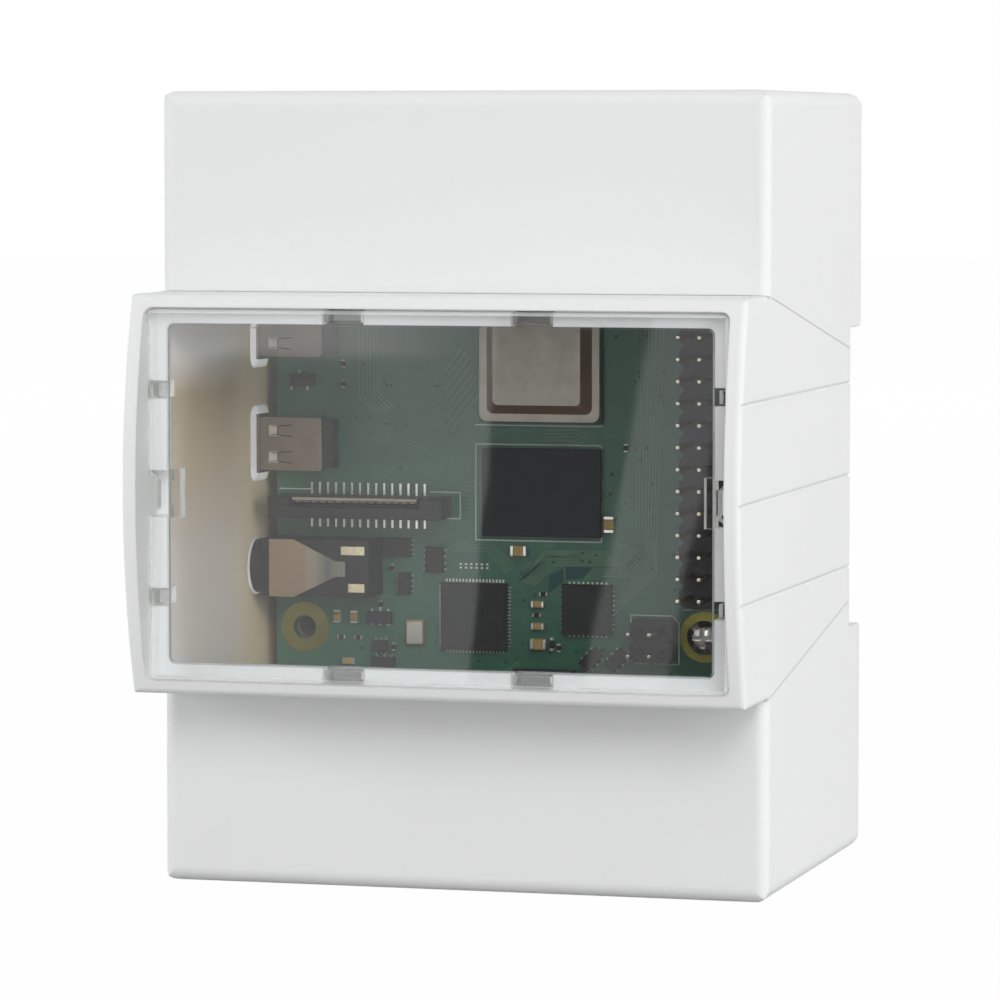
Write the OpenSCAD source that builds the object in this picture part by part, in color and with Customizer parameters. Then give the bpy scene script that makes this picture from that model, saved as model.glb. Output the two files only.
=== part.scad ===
// Rail-mounted case with a clear front panel, holding a single-board computer.
// The front faces -Y, the rail seat is at the back, and Z = 0 is the bottom face.

/* [Housing] */
// Width over the side faces
case_w = 71; // [68:0.5:90]
// Height over the end faces
case_h = 90.5; // [90.5:0.5:110]
// Depth from the rail seat to the shoulder fronts
shoulder_depth = 44; // [42:0.5:56]
// How far the bezel rim stands in front of the shoulders
bezel_depth = 10.4; // [9:0.1:16]
// Rise of the arched cheeks over the bezel rim
crown = 3.6; // [2:0.1:6]
// Height of the bezel
bezel_h = 45; // [42:0.5:50]
// Wall thickness of the shells
wall = 1.8; // [1.4:0.1:2]
// Radius of the outer edges of the shoulders
edge_r = 1.6; // [0.6:0.1:2.4]
// Radius along the front edges of the bezel
cheek_r = 0.9; // [0.4:0.1:1.4]
// Radius of the four bezel corners
corner_r = 0.6; // [0.3:0.1:1.2]
// Thickness of the tongues that overlap the end covers from inside
liner_t = 1.3; // [0.8:0.1:1.4]
// Depth of the inner tongues behind the shoulder fronts
liner_reach = 34; // [32:0.5:38]
// How far the inner tongues reach past the joints into the end covers
liner_over = 3; // [1:0.5:4]
// Spacing of the side grooves
groove_pitch = 10.95; // [6:0.05:12]
// Width of a side groove
groove_w = 0.5; // [0.3:0.05:1]
// Visible joint between the front frame and the end covers
seam = 0.03; // [0.02:0.01:0.3]
// Clearance between shells that slide into each other
fit = 0.1; // [0.05:0.05:0.2]

/* [Rail seat] */
// Height of the mounting rail
rail_h = 35; // [35:0.5:36]
// Thickness of the rail flange
rail_t = 1; // [0.8:0.1:1.5]
// Free play of the rail in its seat
rail_play = 0.6; // [0.3:0.1:1.2]
// Depth of the feet behind the rail seat
foot_depth = 6; // [5.6:0.1:9]
// How far the rail centre lies below the case centre
rail_drop = 0.3; // [0:0.1:1]
// Distance of the diagonal joints from the case centre at the rail seat
seam_rear = 15; // [12:0.5:16]
// Radius of the foot corners
foot_r = 1; // [0.4:0.1:1.6]
// Width of the fixed hook
hook_w = 40; // [20:1:50]
// How far the hook and the latch reach over the rail
hook_reach = 1.6; // [1.2:0.1:2]
// Thickness of the hook along the depth
hook_t = 1.4; // [1:0.1:2]
// Width of the sliding latch
latch_w = 17; // [12:0.5:20]
// Thickness of the sliding latch
latch_t = 1.9; // [1.4:0.1:2]
// Clearance round the sliding latch
latch_gap = 0.25; // [0.2:0.05:0.4]
// Travel of the latch from locked to released
latch_travel = 2.4; // [2:0.1:3]
// Width of the grip rib on the latch
grip_w = 11; // [8:0.5:14]
// Length of the grip rib on the latch
grip_l = 11.6; // [8:0.1:14]
// Width of the screwdriver slot in the latch
pry_w = 5; // [3:0.5:6]
// Height of the screwdriver slot in the latch
pry_h = 2; // [1.5:0.1:3]
// Height of the released latch over the bottom face
latch_clear = 1; // [0.5:0.1:1.5]
// Gap between the rail flange and the hook
rail_gap = 0.5; // [0.3:0.1:0.8]

/* [Front panel] */
// Width of the bezel lip beside the panel
lip_side = 1.8; // [1.4:0.1:2.4]
// Height of the bezel lip above and below the panel
lip_end = 1.5; // [1.2:0.1:2]
// Gap round the panel
panel_gap = 0.2; // [0.15:0.05:0.3]
// Thickness of the clear panel
panel_t = 2; // [1.5:0.1:3]
// How far the panel front lies behind the bezel rim
panel_set = -0.3; // [-0.5:0.1:0.5]
// Gap between the panel and its ledge
seat_gap = 0.1; // [0.05:0.05:0.2]
// Depth of the locating step behind the panel
step_t = 0.8; // [0.5:0.1:1.2]
// Corner radius of the panel
panel_r = 0.8; // [0.5:0.1:2.5]
// Bevel along the front edges of the panel
panel_bevel = 0.4; // [0.2:0.05:0.8]
// Width of the ledge beside the panel
ledge_side = 2.1; // [1.6:0.1:3]
// Height of the ledge above and below the panel
ledge_end = 1.8; // [1.5:0.1:2.5]
// Thickness of the ledge
ledge_t = 1.8; // [1.2:0.1:2.4]
// Distance of the end slots from the middle
end_slot_x = 10.9; // [6:0.1:14]
// Length of the end slots
end_slot_l = 4.8; // [3:0.1:6]
// Depth of the slots behind the ledge
slot_depth = 3.4; // [2.5:0.1:5]
// Wall round the pockets behind the end slots
pocket_wall = 0.6; // [0.4:0.1:0.8]
// Distance of the pocket walls from the edge of the ledge
pocket_inset = 0.3; // [0.1:0.1:0.8]
// Distance of the side slots from the middle
side_slot_z = 11.7; // [8:0.1:14]
// Length of the side slots
side_slot_l = 2; // [1.5:0.1:3]
// Thickness of the panel tongues
tongue_t = 1; // [0.7:0.1:1.2]
// Clearance between a panel tongue and its slot
tongue_gap = 0.25; // [0.2:0.05:0.35]
// Distance of the tongues from the edges of the panel opening
tongue_inset = 0.55; // [0.5:0.05:0.7]
// Reach of the panel tongues behind the ledge
tongue_reach = 1; // [0.5:0.1:2]
// Height of the prying notches
notch_h = 5.2; // [4:0.1:7]
// Depth of the prying notches into the panel edge
notch_d = 1.2; // [0.8:0.1:1.5]
// Thickness of the snap fingers beside the notches
snap_t = 1.1; // [0.8:0.1:1.4]
// Height of the snap fingers
snap_h = 5.6; // [4:0.1:7]
// Reach of the snap fingers behind the ledge
snap_reach = 0.9; // [0.5:0.1:1.2]
// How far the barbs of the snap fingers stand out
barb = 0.5; // [0.3:0.05:0.55]

/* [Board] */
// Length of the board
board_len = 85; // [80:0.5:85]
// Width of the board
board_wid = 56; // [55:0.5:57]
// Thickness of the board
board_t = 1.4; // [1:0.1:1.8]
// Corner radius of the board
board_r = 3; // [1:0.5:4]
// Depth of the board face behind the shoulder fronts
board_set = 28.5; // [27.5:0.1:30]
// Gap from the left side face to the board edge
board_inset = 4.8; // [4.7:0.1:6]
// Gap from the bottom face to the board edge
board_rise = 3.5; // [3:0.1:3.6]
// Distance of the mounting holes from the board edges
hole_edge = 3.5; // [3.2:0.1:4]
// Distance between the mounting hole rows along the board
hole_span = 58; // [57:0.5:59]
// Diameter of the mounting holes
hole_d = 2.7; // [2.4:0.1:3]
// Diameter of the board posts
post_d = 6; // [5:0.5:7]
// Diameter of the screw shanks
screw_d = 2.2; // [1.8:0.1:2.3]
// Length of the screws under the head
screw_len = 7; // [5:0.5:9]
// Diameter of the screw heads
screw_head_d = 4; // [3.8:0.1:5]
// Height of the screw heads
screw_head_h = 1.6; // [1.2:0.1:2]

/* [Connectors] */
// Pin pitch of the headers
pin_pitch = 2.54; // [2.5:0.01:2.58]
// Pin columns of the long header
pin_count = 20; // [10:1:20]
// Width of a header pin
pin_w = 0.64; // [0.5:0.02:0.7]
// Height of the pin tips over the board
pin_h = 8.5; // [7:0.1:11]
// Length of the pin stubs under the board
pin_stub = 1.5; // [0.5:0.1:3]
// Height of the header strips
strip_h = 2.5; // [2:0.1:3]
// Depth of the notches between the strip columns
strip_notch = 0.6; // [0.2:0.05:0.7]
// Clearance of a pin in its strip
pin_fit = 0.02; // [0.01:0.01:0.05]
// Diameter of the pin holes in the board
pin_hole_d = 1.05; // [1:0.01:1.2]
// Clearance round a connector in the bottom wall
port_gap = 0.4; // [0.2:0.1:0.8]
// Length of the side cut-outs for the plugs
plug_l = 9; // [8:0.1:11]
// Width of the side cut-outs for the plugs
plug_w = 7; // [6:0.1:8]
// Diameter of the side cut-out for the audio plug
audio_plug_d = 7; // [6.8:0.1:9]
// Contacts of a ribbon connector
ribbon_count = 15; // [10:1:16]
// Contact pitch of a ribbon connector
ribbon_pitch = 1; // [0.9:0.05:1.1]
// Height of a ribbon connector with its collar shut
ribbon_h = 6; // [5:0.1:7]
// Lift of a ribbon collar
collar_lift = 1.2; // [0.8:0.1:1.6]
// Clearance between a ribbon collar and its socket
collar_gap = 0.12; // [0.1:0.01:0.2]
// Wall of the metal connector shells
shell_t = 0.4; // [0.3:0.05:0.6]

/* [Hidden] */
$fn = 64;

// Depth planes, front to back
depth = foot_depth + shoulder_depth + bezel_depth + crown;
y_crown = -depth / 2;
y_rim = y_crown + crown;
y_shoulder = y_rim + bezel_depth;
y_rail = y_shoulder + shoulder_depth;
y_back = y_rail + foot_depth;
past = 1;

// Heights and half widths of the shells
half_w = case_w / 2;
mid_z = case_h / 2;
bezel_lo = mid_z - bezel_h / 2;
bezel_hi = mid_z + bezel_h / 2;
rail_mid = mid_z - rail_drop;
rail_lo = rail_mid - (rail_h + rail_play) / 2;
rail_hi = rail_mid + (rail_h + rail_play) / 2;
inner_w = half_w - wall;
base_w = inner_w - fit;
liner_w = base_w - liner_t;

// Arch of the cheeks: a circle round an axis along X
arch_r = (pow(bezel_h / 2, 2) + pow(crown, 2)) / (2 * crown);
arch_y = y_crown + arch_r;
round_z = bezel_h / 2 - cheek_r;
round_y = arch_y - sqrt(pow(arch_r - cheek_r, 2) - pow(round_z, 2));

// Panel seat
open_w = half_w - lip_side;
open_h = bezel_h / 2 - lip_end;
ledge_w = open_w - ledge_side;
ledge_h = open_h - ledge_end;
y_panel = y_rim + panel_set;
y_seat = y_panel + panel_t + seat_gap;
y_ledge = y_seat + ledge_t;

// Latch: its tunnel lies in the lower foot, against the back wall
tunnel_y1 = y_back - wall;
latch_y1 = tunnel_y1 - latch_gap;
latch_y0 = latch_y1 - latch_t;
tunnel_y0 = latch_y0 - latch_gap;
tunnel_w = latch_w / 2 + latch_gap;
latch_lo = latch_clear + latch_travel;
hook_y0 = y_rail + rail_t + rail_gap;

// Board frame: u runs down the board, v across it and w out of its face
board_x = -half_w + board_inset;
board_y = y_shoulder + board_set;
board_z = board_rise + board_len;
hole_us = [hole_edge, hole_edge + hole_span];
hole_vs = [hole_edge, board_wid - hole_edge];
screw_holes = [[hole_us[0], hole_vs[0]], [hole_us[1], hole_vs[1]]];

// Long header along the right edge, short header beside the lower screw
header_u = hole_edge + hole_span / 2;
header_v = board_wid - hole_edge;
aux_from_hole = [0.4, -5.9];
aux_at = [hole_us[1], hole_vs[1]] + aux_from_hole;

// Sockets along the left edge: places along the board and sizes
power_u = 11.2;
video_us = [26, 39.5];
audio_u = board_len - 31;
video_size = [6.3, 8, 3];
video_out = 1.4;
power_size = [8.9, 7.3, 3.2];
power_out = 1.4;
audio_size = [6.8, 13.2, 5.8];
audio_out = 1.4;
audio_barrel_d = 6.4;
audio_bore_d = 3.6;
camera_at = [board_len - 38.2, 11.5];
display_at = [4.6, 28];

// Ports through the bottom wall: centre across the board and sizes
network_v = 45.75;
network_size = [20.5, 16, 13.5];
network_out = 2;
data_vs = [27, 9];
data_size = [17.5, 13.2, 16];
data_out = 2.8;

// Small parts: distance from the port end or, on the upper half, from the upper end, place across the
// board, length, width, height and angle to the board's length
lower_capacitors = [
    [33.2, 30.1, 2, 1.25, 0.9, 90], [36.5, 41.1, 2, 1.25, 0.9, 0], [26.9, 32.4, 1.6, 0.8, 0.7, 90],
    [24.3, 32.4, 1.6, 0.8, 0.7, 90], [22.2, 32.5, 2, 1.25, 0.9, 90], [24.9, 7.7, 1.6, 0.9, 0.7, 0],
    [24.9, 9.8, 1.6, 0.9, 0.7, 0], [19.6, 9.1, 1.6, 0.8, 0.7, 90]
];
upper_capacitors = [
    [17.4, 15, 2, 1.25, 0.9, 90], [17.4, 19, 2, 1.25, 0.9, 90], [8.4, 14, 1.6, 0.8, 0.7, 0],
    [8.4, 16, 1.6, 0.8, 0.7, 0]
];
lower_resistors = [
    [28.1, 33, 1, 0.5, 0.35, 90], [25.6, 32.2, 1, 0.5, 0.35, 90], [21.8, 34.9, 1, 0.5, 0.35, 0],
    [22.2, 34.1, 1.6, 0.5, 0.5, 0], [30.8, 14.4, 1, 0.5, 0.35, 0], [26.4, 13, 1, 0.5, 0.35, 0],
    [22.4, 8.1, 1, 0.5, 0.35, 90], [22.4, 10.2, 1, 0.5, 0.35, 90], [21.4, 14.6, 1, 0.5, 0.35, 0],
    [45.5, 43, 1, 0.5, 0.35, 0], [18.6, 18.8, 1, 0.5, 0.35, 90], [18.6, 21.2, 1, 0.5, 0.35, 90]
];
upper_resistors = [[30, 8.4, 1, 0.5, 0.35, 0], [32.4, 8.4, 1, 0.5, 0.35, 0]];
lower_chips = [
    [31.9, 19.7, 3, 2.2, 0.8, 0], [33.3, 15.1, 2.2, 3.4, 0.9, 0], [29, 16, 2.6, 1.5, 0.8, 0],
    [24.9, 12.9, 1.4, 3, 1, 0], [21.5, 13, 1.4, 1.9, 0.9, 0], [19.4, 13.4, 1.6, 2.8, 0.9, 0],
    [20.6, 38.9, 2.6, 1.5, 0.9, -45], [20.6, 42, 2.6, 1.5, 0.9, -45], [18.2, 33.2, 2.2, 7.4, 1.2, 0]
];
upper_chips = [[32, 3.4, 1.4, 2.9, 1, 0]];
inductor_list = [[15, 10, 4, 4, 2, 0], [9.8, 19.6, 3, 3, 1.8, 0]];
light_list = [[3, 9, 1.6, 0.8, 0.7, 0], [3, 11, 1.6, 0.8, 0.7, 0]];
terminal_share = 0.22;

function from_port_end(rows) = [for (p = rows) [board_len - p[0], p[1], p[2], p[3], p[4], p[5]]];
capacitor_list = concat(from_port_end(lower_capacitors), upper_capacitors);
resistor_list = concat(from_port_end(lower_resistors), upper_resistors);
chip_list = concat(from_port_end(lower_chips), upper_chips);

// Helpers

// Extrudes a Y-Z outline along X, centred on X = 0
module along_x(width) {
    rotate([90, 0, 90]) linear_extrude(width, center = true) children();
}

// Extrudes an X-Z outline along Y between two planes
module along_y(y0, y1) {
    translate([0, y1, 0]) rotate([90, 0, 0]) linear_extrude(y1 - y0) children();
}

// Box between two corners
module block(lo, hi) {
    translate(lo) cube(hi - lo);
}

// Flat rectangle between two corners with round corners
module rounded(lo, hi, r) {
    translate([lo[0] + r, lo[1]]) square([hi[0] - lo[0] - 2 * r, hi[1] - lo[1]]);
    translate([lo[0], lo[1] + r]) square([hi[0] - lo[0], hi[1] - lo[1] - 2 * r]);
    for (x = [lo[0] + r, hi[0] - r], y = [lo[1] + r, hi[1] - r])
        translate([x, y]) circle(r = r);
}

// Moves board coordinates into the case
module on_board() {
    translate([board_x, board_y, board_z]) rotate([90, 90, 0]) children();
}

// Box on the board face, centred on a place
module on_face(at, size, lift = 0) {
    translate([at[0] - size[0] / 2, at[1] - size[1] / 2, lift]) cube(size);
}

// Boxes for rows of [u, v, length, width, height, angle]
module small_parts(rows) {
    for (p = rows)
        translate([p[0], p[1], 0]) rotate([0, 0, p[5]])
            translate([-p[2] / 2, -p[3] / 2, 0]) cube([p[2], p[3], p[4]]);
}

// Small parts without the metal ends that a part_terminals row adds
module bodies_between_ends(rows) {
    small_parts([for (p = rows) [p[0], p[1], p[2] * (1 - 2 * terminal_share), p[3], p[4], p[5]]]);
}

// Housing outlines

// Outer body behind the shoulder fronts, with all its edges rounded
module outer_body() {
    intersection() {
        along_x(case_w) rounded([y_shoulder, 0], [y_back, case_h], edge_r);
        along_y(y_shoulder - past, y_back + past) rounded([-half_w, 0], [half_w, case_h], edge_r);
        linear_extrude(case_h) {
            rounded([-half_w, y_shoulder], [half_w, y_back], edge_r);
            translate([-half_w, 0]) square([case_w, y_back]);
        }
    }
}

// Part of the Y-Z plane beyond one diagonal joint; side is 1 at the top and -1 at the bottom
module end_region(side, foot_z, offset) {
    far_z = mid_z + side * (mid_z + past);
    front_z = mid_z + side * (bezel_h / 2 + offset);
    rear_z = mid_z + side * (seam_rear + offset);
    difference() {
        polygon([[y_shoulder, front_z], [y_rail, rear_z], [y_rail, foot_z], [y_back + past, foot_z],
            [y_back + past, far_z], [y_shoulder - past, far_z], [y_shoulder - past, front_z]]);
        difference() {
            translate([y_back - foot_r, foot_z - (side < 0 ? foot_r : 0)]) square(foot_r);
            translate([y_back - foot_r, foot_z + side * foot_r]) circle(r = foot_r);
        }
    }
}

// Outline of the front frame in the Y-Z plane
module frame_region() {
    polygon([[y_crown - past, bezel_lo], [y_shoulder, bezel_lo], [y_rail, mid_z - seam_rear],
        [y_rail, mid_z + seam_rear], [y_shoulder, bezel_hi], [y_crown - past, bezel_hi]]);
}

// Y-Z outline of the bezel: the arch with its ends rounded into the flat faces
module bezel_outline() {
    ray = 1.2;
    intersection() {
        translate([arch_y, mid_z]) circle(r = arch_r, $fn = 256);
        polygon([[arch_y, mid_z], [arch_y + ray * (round_y - arch_y), mid_z + ray * round_z],
            [arch_y + ray * (round_y - arch_y), mid_z - ray * round_z]]);
        translate([y_crown - past, bezel_lo]) square([y_shoulder + wall - y_crown + past, bezel_h]);
    }
    translate([round_y, bezel_lo]) square([y_shoulder + wall - round_y, bezel_h]);
    for (side = [-1, 1])
        translate([round_y, mid_z + side * round_z]) circle(r = cheek_r);
}

// Disc round the arch axis with a rounded rim, which rounds the front edges of the cheeks
module arch_disc() {
    translate([0, arch_y, mid_z]) rotate([0, 90, 0]) rotate_extrude($fn = 256) {
        translate([0, -half_w]) square([arch_r - cheek_r, case_w]);
        translate([0, cheek_r - half_w]) square([arch_r, case_w - 2 * cheek_r]);
        for (side = [-1, 1])
            translate([arch_r - cheek_r, side * (half_w - cheek_r)]) circle(r = cheek_r);
    }
}

module bezel_block() {
    intersection() {
        along_x(case_w) bezel_outline();
        arch_disc();
        along_y(y_crown - past, y_shoulder + wall + past)
            rounded([-half_w, bezel_lo], [half_w, bezel_hi], corner_r);
    }
}

// Cut-outs in the left walls for the plugs of the side sockets
module side_cutouts() {
    module through(u, w) {
        translate([-half_w - past, board_y - w, board_z - u]) rotate([90, 0, 90])
            linear_extrude(half_w - liner_w + 2 * past) children();
    }
    plug_r = 1.5;
    for (u = [power_u, video_us[0], video_us[1]])
        through(u, video_size[2] / 2) rounded([-plug_w / 2, -plug_l / 2], [plug_w / 2, plug_l / 2], plug_r);
    through(audio_u, audio_size[2] / 2) circle(d = audio_plug_d);
}

// Grooves along both side faces of the front frame
module side_grooves() {
    for (side = [-1, 1], row = [-1, 0, 1])
        along_y(y_crown - past, y_rail + past)
            translate([side * half_w, mid_z + row * groove_pitch])
                rotate(45) square(groove_w / sqrt(2), center = true);
}

// Boxes through the ledge at the slots: from the edge of the opening inwards, shortened at both ends
module ledge_boxes(y0, y1, from_edge, to_edge, shorter) {
    for (side = [-1, 1]) {
        for (x = [-end_slot_x, end_slot_x])
            translate([x, (y0 + y1) / 2, mid_z + side * (open_h - (from_edge + to_edge[0]) / 2)])
                cube([end_slot_l - 2 * shorter, y1 - y0, to_edge[0] - from_edge], center = true);
        for (z = [-side_slot_z, side_slot_z])
            translate([side * (open_w - (from_edge + to_edge[1]) / 2), (y0 + y1) / 2, mid_z + z])
                cube([to_edge[1] - from_edge, y1 - y0, side_slot_l - 2 * shorter], center = true);
    }
}

// Housing pieces

// Y-Z outline of the inner tongues, from the panel ledge to behind the end covers
module liner_region() {
    translate([y_seat, bezel_lo + wall])
        square([y_shoulder + liner_reach - y_seat, bezel_h - 2 * wall]);
    translate([y_shoulder + wall + fit, bezel_lo - liner_over])
        square([liner_reach - wall - fit, bezel_h + 2 * liner_over]);
}

// Middle of both side walls, and the tongues inside them; a shared core makes each side one piece
module frame_sides() {
    core = half_w - wall / 2;
    for (side = [-1, 1]) {
        translate([side * (half_w - (wall + fit) / 2), 0, 0]) along_x(wall + fit) intersection() {
            frame_region();
            translate([y_shoulder, 0]) square([shoulder_depth, case_h]);
        }
        translate([side * (base_w + liner_w) / 2, 0, 0]) along_x(liner_t) liner_region();
        translate([side * (core + liner_w) / 2, 0, 0]) along_x(core - liner_w) intersection() {
            frame_region();
            liner_region();
        }
    }
}

// Walls of the pockets behind the end slots, open towards the board
module slot_pockets() {
    back = y_ledge + slot_depth + pocket_wall;
    inner = ledge_h + pocket_inset;
    outer = open_h + pocket_wall;
    for (side = [-1, 1], x = [-end_slot_x, end_slot_x])
        translate([x, (y_ledge - fit + back) / 2, mid_z + side * (inner + outer) / 2])
            cube([end_slot_l + 2 * pocket_wall, back - y_ledge + fit, outer - inner], center = true);
}

// Panel opening, ledge opening and the slots and notches in the ledge
module panel_seat() {
    along_y(y_crown - past, y_seat)
        rounded([-open_w, mid_z - open_h], [open_w, mid_z + open_h], panel_r + panel_gap);
    along_y(y_seat - past, y_ledge + past)
        rounded([-ledge_w, mid_z - ledge_h], [ledge_w, mid_z + ledge_h], panel_r);
    ledge_boxes(y_seat - past, y_ledge + slot_depth, 0, [ledge_end, ledge_side], 0);
    for (side = [-1, 1])
        translate([side * (open_w - ledge_side / 2), (y_seat + y_ledge) / 2, mid_z])
            cube([ledge_side, ledge_t + 2 * past, notch_h], center = true);
}

module front_frame() {
    color("white") difference() {
        union() {
            difference() {
                intersection() {
                    bezel_block();
                    along_x(case_w) frame_region();
                }
                block([-base_w, y_ledge, bezel_lo + wall], [base_w, y_rail, bezel_hi - wall]);
            }
            frame_sides();
            slot_pockets();
        }
        panel_seat();
        side_cutouts();
        side_grooves();
    }
}

// End cover shell: front, end and side walls, open at the back
module end_shell(side, foot_z) {
    difference() {
        intersection() {
            outer_body();
            along_x(case_w) end_region(side, foot_z, seam);
        }
        block([-inner_w, y_shoulder + wall, wall], [inner_w, y_back + past, case_h - wall]);
        side_cutouts();
    }
}

module upper_end_cover() {
    card_slot = [14, 3];
    color("white") difference() {
        end_shell(1, rail_hi);
        translate([board_x + board_wid / 2 - card_slot[0] / 2, board_y + board_t, case_h - wall - past])
            cube([card_slot[0], card_slot[1], wall + 2 * past]);
    }
}

module lower_end_cover() {
    color("white") difference() {
        end_shell(-1, rail_lo);
        on_board() {
            port_cut(network_v, network_size);
            for (v = data_vs)
                port_cut(v, data_size);
        }
        block([-tunnel_w, tunnel_y0, -past], [tunnel_w, y_back + past, wall + fit]);
    }
}

// Clearance cut for a port, through the bottom wall
module port_cut(v, size) {
    translate([board_len, v - size[1] / 2 - port_gap, -port_gap])
        cube([board_rise + past, size[1] + 2 * port_gap, size[2] + 2 * port_gap]);
}

// Y-Z section of the base: rail seat between two hollow feet
module base_section() {
    lo = wall + fit;
    hi = case_h - wall - fit;
    difference() {
        union() {
            translate([y_rail - wall, rail_lo - wall]) square([wall, rail_hi - rail_lo + 2 * wall]);
            translate([y_rail - wall, rail_lo - wall]) square([foot_depth + wall, wall]);
            translate([y_rail - wall, rail_hi]) square([foot_depth + wall, wall]);
            translate([y_back - wall, lo]) square([wall, rail_lo - lo]);
            translate([y_back - wall, rail_hi]) square([wall, hi - rail_hi]);
        }
        for (foot = [[rail_lo, -1], [rail_hi, 1]])
            difference() {
                translate([y_back - foot_r, foot[0] - (foot[1] < 0 ? foot_r : 0)]) square(foot_r);
                translate([y_back - foot_r, foot[0] + foot[1] * foot_r]) circle(r = foot_r);
            }
    }
}

// Space that the rail needs behind its seat, round the fixed hook
module rail_space() {
    difference() {
        block([-half_w, y_rail, rail_lo], [half_w, y_back + past, rail_hi]);
        fixed_hook(rail_hi + past);
    }
}

// Hook over the upper edge of the rail, up to a given height
module fixed_hook(top) {
    block([-hook_w / 2, hook_y0, rail_hi - hook_reach], [hook_w / 2, hook_y0 + hook_t, top]);
}

module rear_base() {
    color("white") difference() {
        union() {
            along_x(2 * base_w) base_section();
            for (u = hole_us, v = hole_vs)
                on_board() translate([u, v, board_y - y_back + wall / 2])
                    cylinder(d = post_d, h = y_back - wall / 2 - board_y - board_t);
            block([-tunnel_w - wall, tunnel_y0 - wall, latch_lo + latch_travel],
                [tunnel_w + wall, y_back - wall / 2, rail_lo - wall / 2]);
            fixed_hook(rail_hi + wall / 2);
        }
        rail_space();
        block([-tunnel_w, tunnel_y0, 0], [tunnel_w, tunnel_y1, rail_lo + past]);
        block([-grip_w / 2 - latch_gap, tunnel_y0, 0],
            [grip_w / 2 + latch_gap, y_back + past, latch_lo + grip_l + latch_gap]);
        for (u = hole_us, v = hole_vs)
            on_board() translate([u, v, -board_t - screw_len])
                cylinder(d = screw_d + 2 * fit, h = screw_len);
    }
}

// Latch with a sloped nose over the rail, a grip rib and a screwdriver slot
module rail_latch() {
    top = rail_lo + hook_reach;
    tip = latch_t / 4;
    color("gainsboro") difference() {
        union() {
            along_x(latch_w) polygon([[latch_y0, latch_lo], [latch_y1, latch_lo],
                [latch_y1, rail_lo - latch_gap], [latch_y0 + tip, top], [latch_y0, top]]);
            block([-grip_w / 2, latch_y0, latch_lo], [grip_w / 2, y_back - latch_gap, latch_lo + grip_l]);
        }
        block([-pry_w / 2, latch_y0 - past, latch_lo + pry_h],
            [pry_w / 2, y_back, latch_lo + 2 * pry_h]);
    }
}

// Plate of the clear panel: a rounded outline, bevelled along its four front edges
module bevelled_plate(half_x, half_z) {
    front = y_panel;
    back = y_panel + panel_t;
    intersection() {
        along_y(front, back)
            rounded([-half_x, mid_z - half_z], [half_x, mid_z + half_z], panel_r);
        along_x(2 * half_x) polygon([
            [back, mid_z - half_z], [front + panel_bevel, mid_z - half_z],
            [front, mid_z - half_z + panel_bevel], [front, mid_z + half_z - panel_bevel],
            [front + panel_bevel, mid_z + half_z], [back, mid_z + half_z]]);
        translate([0, 0, mid_z - half_z]) linear_extrude(2 * half_z) polygon([
            [-half_x, back], [-half_x, front + panel_bevel], [panel_bevel - half_x, front],
            [half_x - panel_bevel, front], [half_x, front + panel_bevel], [half_x, back]]);
    }
}

// Snap finger behind the panel at one side, with a barb that springs into the ledge notch
module snap_finger(side, half_x) {
    front = y_panel + panel_t / 2;
    back = y_ledge + snap_reach;
    translate([side * (half_x - snap_t / 2), (front + back) / 2, mid_z])
        cube([snap_t, back - front, snap_h], center = true);
    translate([side * half_x, back - barb, mid_z])
        cube([2 * barb, 2 * barb, snap_h / 2], center = true);
}

// Clear panel: a bevelled plate with a locating step, tongues and snap fingers behind it, and a prying
// notch at each side
module window_panel() {
    plate_w = open_w - panel_gap;
    plate_h = open_h - panel_gap;
    step_w = ledge_w - panel_gap;
    step_h = ledge_h - panel_gap;
    tongue_to = tongue_inset + tongue_t;
    notch_slope = 0.6;
    notch = [[-past, 1], [0, 1], [notch_d, notch_slope], [notch_d, -notch_slope], [0, -1], [-past, -1]];
    color("lightcyan", 0.35) difference() {
        union() {
            bevelled_plate(plate_w, plate_h);
            along_y(y_panel + panel_t / 2, y_seat + step_t)
                rounded([-step_w, mid_z - step_h], [step_w, mid_z + step_h], panel_r - panel_gap);
            ledge_boxes(y_panel + panel_t / 2, y_ledge + tongue_reach, tongue_inset, [tongue_to, tongue_to],
                tongue_gap);
            for (side = [-1, 1])
                snap_finger(side, step_w);
        }
        for (side = [-1, 1])
            along_y(y_panel - past, y_seat + past) polygon([
                for (corner = notch) [side * (plate_w - corner[0]), mid_z + corner[1] * notch_h / 2]]);
    }
}

// Board and its parts

module circuit_board() {
    color("seagreen") on_board() translate([0, 0, -board_t]) linear_extrude(board_t) difference() {
        rounded([0, 0], [board_len, board_wid], board_r);
        for (u = hole_us, v = hole_vs)
            translate([u, v]) circle(d = hole_d);
        for (at = concat(header_places(), aux_places()))
            translate(at) circle(d = pin_hole_d);
    }
}

// Domed screw heads on the board with shanks down into the posts
module board_screws() {
    recess_d = 2.4;
    dome_r = 0.62 * screw_head_d;
    color("silver") on_board() for (at = screw_holes)
        translate([at[0], at[1], 0]) difference() {
            union() {
                intersection() {
                    cylinder(d = screw_head_d, h = screw_head_h);
                    translate([0, 0, screw_head_h - dome_r]) sphere(r = dome_r);
                }
                translate([0, 0, -board_t - screw_len + fit]) cylinder(d = screw_d, h = screw_len + board_t);
            }
            for (turn = [0, 90])
                translate([0, 0, screw_head_h]) rotate(turn)
                    cube([recess_d, recess_d / 4, screw_head_h], center = true);
        }
}

processor_at = [board_len - 55.75, 32.7];
processor_w = 15;
substrate_h = 0.5;

module processor_substrate() {
    color("darkgreen") on_board() on_face(processor_at, [processor_w, processor_w, substrate_h]);
}

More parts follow.
